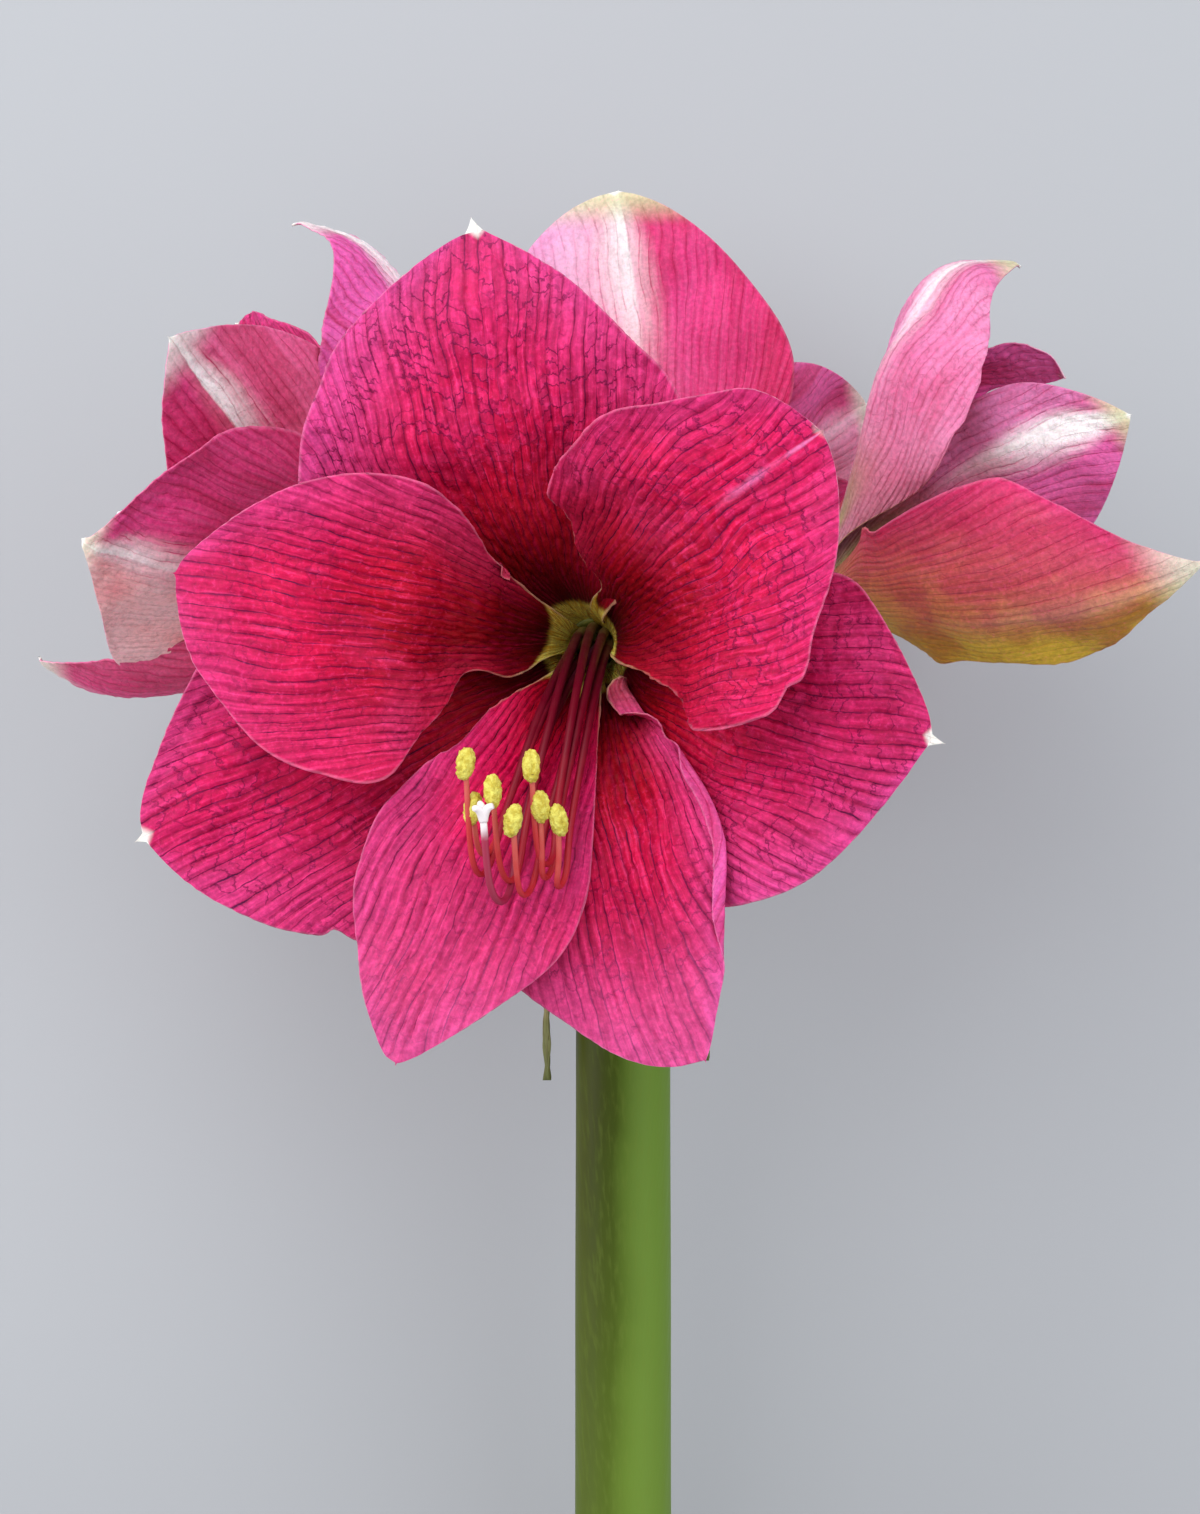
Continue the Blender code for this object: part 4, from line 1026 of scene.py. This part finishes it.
def outer_skin(nodes, maps, veins, cloud, tint, fade):
    """Colour of the outer face: rose to lilac or ochre, darker veins with painted shade in the valleys
    beside them, a milky keel and a green foot.
    """
    s, wide, _, pale = maps
    line, fold, crack, _, fibre = veins
    hue, milk, blush = tint
    place = nodes.plus(s, nodes.linear(cloud, 0.16, -0.08))
    skin = nodes.ramp(place, [
        (0.0, (0.1, 0.17, 0.035)), (0.1, (0.26, 0.17, 0.05)), (0.24, (0.42, 0.06, 0.08)),
        (0.45, (0.66, 0.02, 0.105)), (0.8, (0.74, 0.034, 0.18)), (1.0, (0.76, 0.07, 0.25))])
    ochre = nodes.times(hue, -0.85, clamp=True)
    earthy = nodes.mix(nodes.span(cloud, 0.4, 0.6), (0.44, 0.2, 0.03), (0.62, 0.4, 0.04))
    skin = nodes.mix(ochre, skin, earthy)
    skin = nodes.mix(nodes.times(nodes.times(hue, nodes.span(s, 0.25, 0.55)), 0.9, clamp=True),
                     skin, (0.8, 0.12, 0.46))
    soft = nodes.mix(nodes.span(cloud, 0.35, 0.65), (0.99, 0.44, 0.44), (0.99, 0.57, 0.59))
    soft = nodes.mix(nodes.span(hue, 0.2, 0.8), soft, (0.82, 0.52, 0.76))
    skin = nodes.mix(nodes.times(milk, nodes.span(cloud, 0.2, 0.8, 0.7, 1.3), clamp=True), skin, soft)
    thread = nodes.span(fibre, 0.38, 0.66)
    plain = nodes.minus(1.0, nodes.plus(ochre, milk, clamp=True), clamp=True)
    skin = nodes.mix(nodes.times(nodes.times(thread, 0.16), plain), skin, (0.88, 0.22, 0.46))
    skin = nodes.mix(nodes.times(nodes.times(blush, nodes.span(s, 0.35, 0.55)), plain),
                     skin, (0.5, 0.02, 0.085))
    # Darker rose on the veins, their own colour, and in the soft valleys beside them, painted shade.
    vein_and_valley_shade = nodes.plus(line, nodes.times(fold, 0.6), clamp=True)
    vein_and_valley_shade = nodes.times(vein_and_valley_shade, nodes.linear(plain, 0.36, 0.12))
    skin = nodes.mix(vein_and_valley_shade, skin, (0.46, 0.003, 0.065))
    skin = nodes.mix(nodes.times(crack, 0.3), skin, (0.42, 0.03, 0.12))
    lean = nodes.linear(fibre, 0.2, nodes.minus(wide, 0.1))
    lean = nodes.linear(line, 0.08, lean)
    spread = nodes.times(nodes.span(s, 0.4, 0.95, 0.12, 0.42), nodes.linear(pale, 0.35, 0.65))
    keel = nodes.span(nodes.math("DIVIDE", lean, spread), 0.0, 1.0, 1.0, 0.0)
    keel = nodes.times(nodes.times(keel, pale), nodes.span(s, 0.4, 0.9, 0.1, 0.75), clamp=True)
    skin = nodes.mix(keel, skin, nodes.mix(nodes.span(s, 0.3, 0.7), (0.48, 0.3, 0.18), (0.96, 0.92, 0.93)))
    green = nodes.times(nodes.span(wide, 0.0, 0.55, 1.0, 0.0), nodes.span(s, 0.1, 0.5, 0.9, 0.0))
    skin = nodes.mix(green, skin, (0.26, 0.3, 0.06))
    tip = nodes.span(s, 0.9, 0.985)
    return nodes.mix(nodes.times(tip, 0.85), skin,
                     nodes.mix(fade, (0.68, 0.7, 0.42), (0.9, 0.86, 0.84)))


def petal_material(net):
    """Tepal skin: the inner and the outer face, a painted sparkle of fine pink highlights, a thin pale rim
    and a white tip.
    """
    material, nodes, shader, here = new_material("petal")
    v, s, _ = nodes.split(nodes.uv("petal_place"))
    side, seed, _ = nodes.split(nodes.uv("petal_side"))
    deep, pale, _ = nodes.split(nodes.uv("petal_tone"))
    net_share, lilac, _ = nodes.split(nodes.uv("petal_net"))
    hue, milk, _ = nodes.split(nodes.uv("petal_hue"))
    white, fade, _ = nodes.split(nodes.uv("petal_tip"))
    wide = nodes.size(v)
    group = nodes.add("ShaderNodeGroup", node_tree=net)
    vein_map = nodes.uv("petal_veins")
    phase = nodes.split(vein_map)[0]
    nodes.feed(group.inputs["Map"], vein_map)
    nodes.feed(group.inputs["Seed"], nodes.times(seed, 37.0))
    line, fold, crack, cell, fibre = group.outputs
    crack = nodes.times(crack, net_share)
    veins = (line, fold, crack, nodes.times(cell, net_share), fibre)
    cloud = nodes.noise(here, 55.0, 3.0)
    patch = nodes.noise(here, 34.0, 2.0)
    grain = nodes.noise(here, 900.0, 3.0, 0.6)

    maps = (s, wide, deep, pale)
    inside = inner_skin(nodes, maps, veins, cloud, patch, lilac, fade)
    broad = nodes.vector(nodes.times(phase, 0.3), nodes.times(s, 3.0), nodes.times(seed, 91.0))
    blush = nodes.span(nodes.noise(broad, 1.0, 3.0), 0.46, 0.62, 0.0, 0.5)
    skin = nodes.mix(side, inside, outer_skin(nodes, maps, veins, cloud, (hue, milk, blush), fade))
    dust = nodes.span(grain, 0.3, 0.7, 0.84, 1.12)
    skin = nodes.shaded(skin, dust)
    # Painted highlight: a fine sparkle of light pink specks from the middle of the tepal out.
    skin = nodes.mix(nodes.times(nodes.span(grain, 0.56, 0.7, 0.0, 0.2), nodes.span(s, 0.4, 0.6)), skin,
                     (0.86, 0.08, 0.32))
    start = nodes.span(s, 0.16, 0.42, 0.94, 0.978)
    rim = nodes.times(nodes.span(wide, start, nodes.plus(start, 0.02)), nodes.span(s, 0.1, 0.2))
    rim = nodes.times(rim, nodes.span(nodes.size(nodes.minus(s, 0.62)), 0.25, 0.37, 0.26, 0.58))
    skin = nodes.mix(rim, skin, nodes.mix(nodes.span(s, 0.3, 0.5), (0.64, 0.4, 0.24), (0.82, 0.3, 0.48)))
    away = nodes.linear(nodes.minus(1.0, s), 65.0, nodes.size(phase))
    point = nodes.math("MAXIMUM", nodes.span(away, 0.15, 1.05, 1.0, 0.0), nodes.span(s, 0.9985, 1.0))
    skin = nodes.mix(nodes.times(point, white), skin, (0.88, 0.85, 0.8))
    nodes.finish(shader, skin, nodes.span(grain, 0.3, 0.7, 0.45, 0.62), specular_ior_level=0.1,
                 subsurface_weight=0.1, subsurface_radius=(1.0, 0.2, 0.3), subsurface_scale=0.0012)

    folds = nodes.plus(nodes.times(line, 0.5), nodes.times(fold, 0.6))
    folds = nodes.linear(crack, 0.6, folds)
    height = nodes.minus(nodes.linear(fibre, 0.8, nodes.times(grain, 0.3)), folds)
    nodes.bump(shader, height, 0.7, 0.0005)
    return material


def tube_material():
    """Short tube: olive, blotched with yellow-green."""
    material, nodes, shader, here = new_material("throat")
    blotch = nodes.noise(here, 180.0, 3.0)
    colour = nodes.mix(nodes.span(blotch, 0.35, 0.65), (0.17, 0.17, 0.025), (0.36, 0.38, 0.08))
    nodes.finish(shader, colour, nodes.span(blotch, 0.3, 0.7, 0.4, 0.55), specular_ior_level=0.3)
    return material


def filament_material():
    """Filaments: yellow-green feet, then maroon, brighter red to the hooks, orange-pink ends."""
    material, nodes, shader, here = new_material("filament")
    _, far, _ = nodes.split(nodes.uv("rod_map"))
    cloud = nodes.noise(here, 300.0, 2.0)
    place = nodes.plus(far, nodes.linear(cloud, 0.08, -0.04))
    colour = nodes.ramp(place, [
        (0.0, (0.6, 0.56, 0.12)), (0.11, (0.4, 0.3, 0.08)), (0.17, (0.14, 0.02, 0.026)),
        (0.26, (0.105, 0.001, 0.012)), (0.56, (0.15, 0.001, 0.012)), (0.76, (0.34, 0.003, 0.018)),
        (0.88, (0.5, 0.026, 0.032)), (1.0, (0.62, 0.14, 0.11))])
    nodes.finish(shader, colour, nodes.span(cloud, 0.3, 0.7, 0.36, 0.5), specular_ior_level=0.3,
                 subsurface_weight=0.1, subsurface_scale=0.001)
    return material


def pollen_material():
    """Anthers: grainy bright yellow pollen with brown gaps."""
    material, nodes, shader, here = new_material("pollen")
    grains = nodes.add("ShaderNodeTexVoronoi", feature="F1")
    nodes.feed(grains.inputs["Vector"], here)
    grains.inputs["Scale"].default_value = 2600.0
    clump = nodes.noise(here, 700.0, 3.0)
    colour = nodes.mix(nodes.span(clump, 0.35, 0.65), (0.56, 0.44, 0.04), (0.76, 0.7, 0.14))
    colour = nodes.mix(nodes.span(clump, 0.34, 0.22, 0.0, 0.8), colour, (0.16, 0.09, 0.02))
    nodes.finish(shader, colour, nodes.span(clump, 0.3, 0.7, 0.75, 0.95))
    nodes.bump(shader, grains.outputs["Distance"], 0.8, 0.0002, invert=True)
    return material


def style_material():
    """Style: pale at its foot, dark red in the bundle, white at the stigma."""
    material, nodes, shader, here = new_material("style")
    _, far, _ = nodes.split(nodes.uv("rod_map"))
    cloud = nodes.noise(here, 300.0, 2.0)
    place = nodes.plus(far, nodes.linear(cloud, 0.02, -0.01))
    colour = nodes.ramp(place, [
        (0.0, (0.5, 0.44, 0.3)), (0.12, (0.18, 0.02, 0.07)), (0.3, (0.11, 0.001, 0.012)),
        (0.66, (0.2, 0.002, 0.026)), (0.965, (0.34, 0.016, 0.06)), (0.985, (0.9, 0.82, 0.84))])
    nodes.finish(shader, colour, nodes.span(cloud, 0.3, 0.7, 0.35, 0.5))
    return material


def stem_material():
    """Scape: painted shade and light across it, dark olive at the left and middle to bright green at the
    right, paler green toward the cut end, faintly streaked, pale where cut.
    """
    material, nodes, shader, here = new_material("stem")
    x, y, z = nodes.split(here)
    streak = nodes.noise(nodes.vector(nodes.times(x, 900.0), nodes.times(y, 14.0),
                                      nodes.times(z, 900.0)), 1.0, 3.0)
    blotch = nodes.noise(here, 24.0, 3.0)
    # Painted light and shade across the round scape: dark olive at the left and in the middle, lit bright
    # green at the right.
    painted_light_across = nodes.span(nodes.plus(x, nodes.linear(blotch, 0.008, -0.004)), -0.012, 0.012)
    colour = nodes.ramp(painted_light_across, [
        (0.0, (0.068, 0.08, 0.002)), (0.35, (0.038, 0.048, 0.0005)), (0.65, (0.042, 0.068, 0.0005)),
        (1.0, (0.135, 0.24, 0.028))])
    colour = nodes.mix(nodes.span(streak, 0.45, 0.75, 0.0, 0.22), colour, (0.15, 0.21, 0.03))
    # Paler green toward the cut end.
    low = nodes.span(y, 0.02, -0.1)
    colour = nodes.mix(nodes.times(low, 0.35), colour, (0.15, 0.235, 0.03))
    slope = math.tan(LIE_SLOPE)
    _, end_y, end_z = laid((0, 0, -SCAPE_LENGTH))
    end = end_y + end_z * slope
    cut = nodes.span(nodes.plus(y, nodes.times(z, slope)), end + 0.0008, end + 0.0002)
    fibre = nodes.noise(here, 1400.0, 2.0)
    flesh = nodes.mix(nodes.span(fibre, 0.4, 0.62), (0.42, 0.5, 0.22), (0.62, 0.68, 0.4))
    colour = nodes.mix(cut, colour, flesh)
    nodes.finish(shader, colour, nodes.span(streak, 0.3, 0.7, 0.38, 0.52), specular_ior_level=0.15)
    nodes.bump(shader, streak, 0.25, 0.0002)
    return material


def ovary_material():
    """Pedicels and ovaries: green, flushed with maroon."""
    material, nodes, shader, here = new_material("ovary")
    angle, far, _ = nodes.split(nodes.uv("rod_map"))
    blotch = nodes.noise(here, 120.0, 3.0)
    streak = nodes.noise(nodes.vector(nodes.times(angle, 60.0), nodes.times(far, 6.0)), 1.0, 2.0)
    colour = nodes.mix(nodes.span(blotch, 0.35, 0.7), (0.11, 0.18, 0.03), (0.23, 0.33, 0.08))
    colour = nodes.mix(nodes.span(streak, 0.5, 0.75, 0.0, 0.5), colour, (0.26, 0.12, 0.05))
    nodes.finish(shader, colour, nodes.span(blotch, 0.3, 0.7, 0.35, 0.5))
    return material


def spathe_material():
    """Withered bract: papery, brown-green, with dry veins along it."""
    material, nodes, shader, here = new_material("spathe")
    v, s, _ = nodes.split(nodes.uv("petal_place"))
    vein = nodes.noise(nodes.vector(nodes.times(v, 22.0), nodes.times(s, 3.0)), 1.0, 3.0)
    blotch = nodes.noise(here, 90.0, 4.0)
    colour = nodes.ramp(s, [(0.0, (0.14, 0.17, 0.04)), (0.35, (0.3, 0.26, 0.1)), (0.75, (0.2, 0.19, 0.06)),
                            (1.0, (0.13, 0.15, 0.035))])
    colour = nodes.mix(nodes.span(vein, 0.5, 0.68, 0.0, 0.65), colour, (0.09, 0.07, 0.025))
    colour = nodes.mix(nodes.span(blotch, 0.55, 0.75, 0.0, 0.4), colour, (0.42, 0.33, 0.17))
    nodes.finish(shader, colour, nodes.span(blotch, 0.3, 0.7, 0.6, 0.8))
    nodes.bump(shader, vein, 0.6, 0.0003)
    return material


def make_materials():
    """Every finish of the stalk."""
    net = vein_net_group()
    return {"petal": petal_material(net), "tube": tube_material(), "filament": filament_material(),
            "pollen": pollen_material(), "style": style_material(), "stem": stem_material(),
            "ovary": ovary_material(), "spathe": spathe_material()}


def make_floor():
    """Pale floor, with painted shade that darkens it toward the bottom of the view."""
    bm = bmesh.new()
    bmesh.ops.create_grid(bm, x_segments=2, y_segments=2, size=3.0)
    mesh = bpy.data.meshes.new("floor")
    bm.to_mesh(mesh)
    bm.free()
    material, nodes, shader, here = new_material("floor")
    cloud = nodes.noise(here, 1.5, 2.0)
    colour = nodes.mix(cloud, (0.408, 0.426, 0.454), (0.426, 0.44, 0.464))
    # Painted shade: the floor darkens toward the bottom of the view.
    shade = nodes.span(nodes.split(here)[1], 0.02, -0.17, 1.0, 0.84)
    nodes.finish(shader, nodes.shaded(colour, shade), nodes.span(cloud, 0.3, 0.7, 0.85, 0.9))
    mesh.materials.append(material)
    floor = bpy.data.objects.new("floor", mesh)
    floor.location.z = -0.0002
    bpy.context.scene.collection.objects.link(floor)


def aim(thing, at, target):
    """Put an object at a point and turn its -Z to a target, both in metres."""
    thing.location = at
    thing.rotation_euler = (Vector(target) - Vector(at)).to_track_quat("-Z", "Y").to_euler()


def add_lamp(name, at, power, size, colour):
    """A soft square light that looks at the front bloom; at is in upright millimetres."""
    lamp = bpy.data.lights.new(name, "AREA")
    lamp.energy = power
    lamp.size = size
    lamp.color = colour
    thing = bpy.data.objects.new(name, lamp)
    bpy.context.scene.collection.objects.link(thing)
    aim(thing, Vector(laid(at)), Vector(laid(LAMPS_LOOK_AT)))


def make_light():
    """Soft studio light: a wide key from above and left, two fills and a pale surround."""
    world = bpy.data.worlds.new("studio")
    bpy.context.scene.world = world
    world.use_nodes = True
    world.node_tree.nodes["Background"].inputs["Color"].default_value = (0.93, 0.96, 1.0, 1.0)
    world.node_tree.nodes["Background"].inputs["Strength"].default_value = 0.66
    add_lamp("key", (-620, -1200, 900), 24.0, 1.9, (1.0, 0.98, 0.96))
    add_lamp("fill", (1000, -1000, 200), 8.0, 1.6, (0.97, 0.98, 1.0))
    add_lamp("left", (-1200, -300, 100), 5.0, 0.8, (0.98, 0.98, 1.0))


def make_camera():
    """Camera at the photograph's angle: straight at the front bloom of the upright stalk."""
    camera = bpy.data.cameras.new("camera")
    camera.sensor_width = FRAME_HEIGHT_MM
    camera.lens = FRAME_HEIGHT_MM / 2 / (VIEW_HEIGHT / 2 / CAMERA_DISTANCE)
    camera.clip_start = 0.01
    thing = bpy.data.objects.new("camera", camera)
    lay = lay_matrix()
    lay.translation *= MM
    upright = Matrix.Translation(Vector(CAMERA_AT) * MM) @ Matrix.Rotation(math.pi / 2, 4, "X")
    thing.matrix_world = lay @ upright
    bpy.context.scene.collection.objects.link(thing)
    bpy.context.scene.camera = thing
    bpy.context.scene.view_settings.view_transform = "Standard"


def make_all():
    """The stage and every piece."""
    make_camera()
    make_light()
    make_floor()
    materials = make_materials()
    make_perianths(materials)
    make_stalk(materials)
    for name, bloom in BLOOMS.items():
        make_stamens(name, bloom, materials)
        make_style(name, bloom, materials)
    make_valve("spathe_valve_left", 186, 78, 5.5, materials)
    make_valve("spathe_valve_right", -8, 73, 7.5, materials)


make_all()


def plain(box):
    """A box as plain lists."""
    return [[float(value) for value in corner] for corner in box]
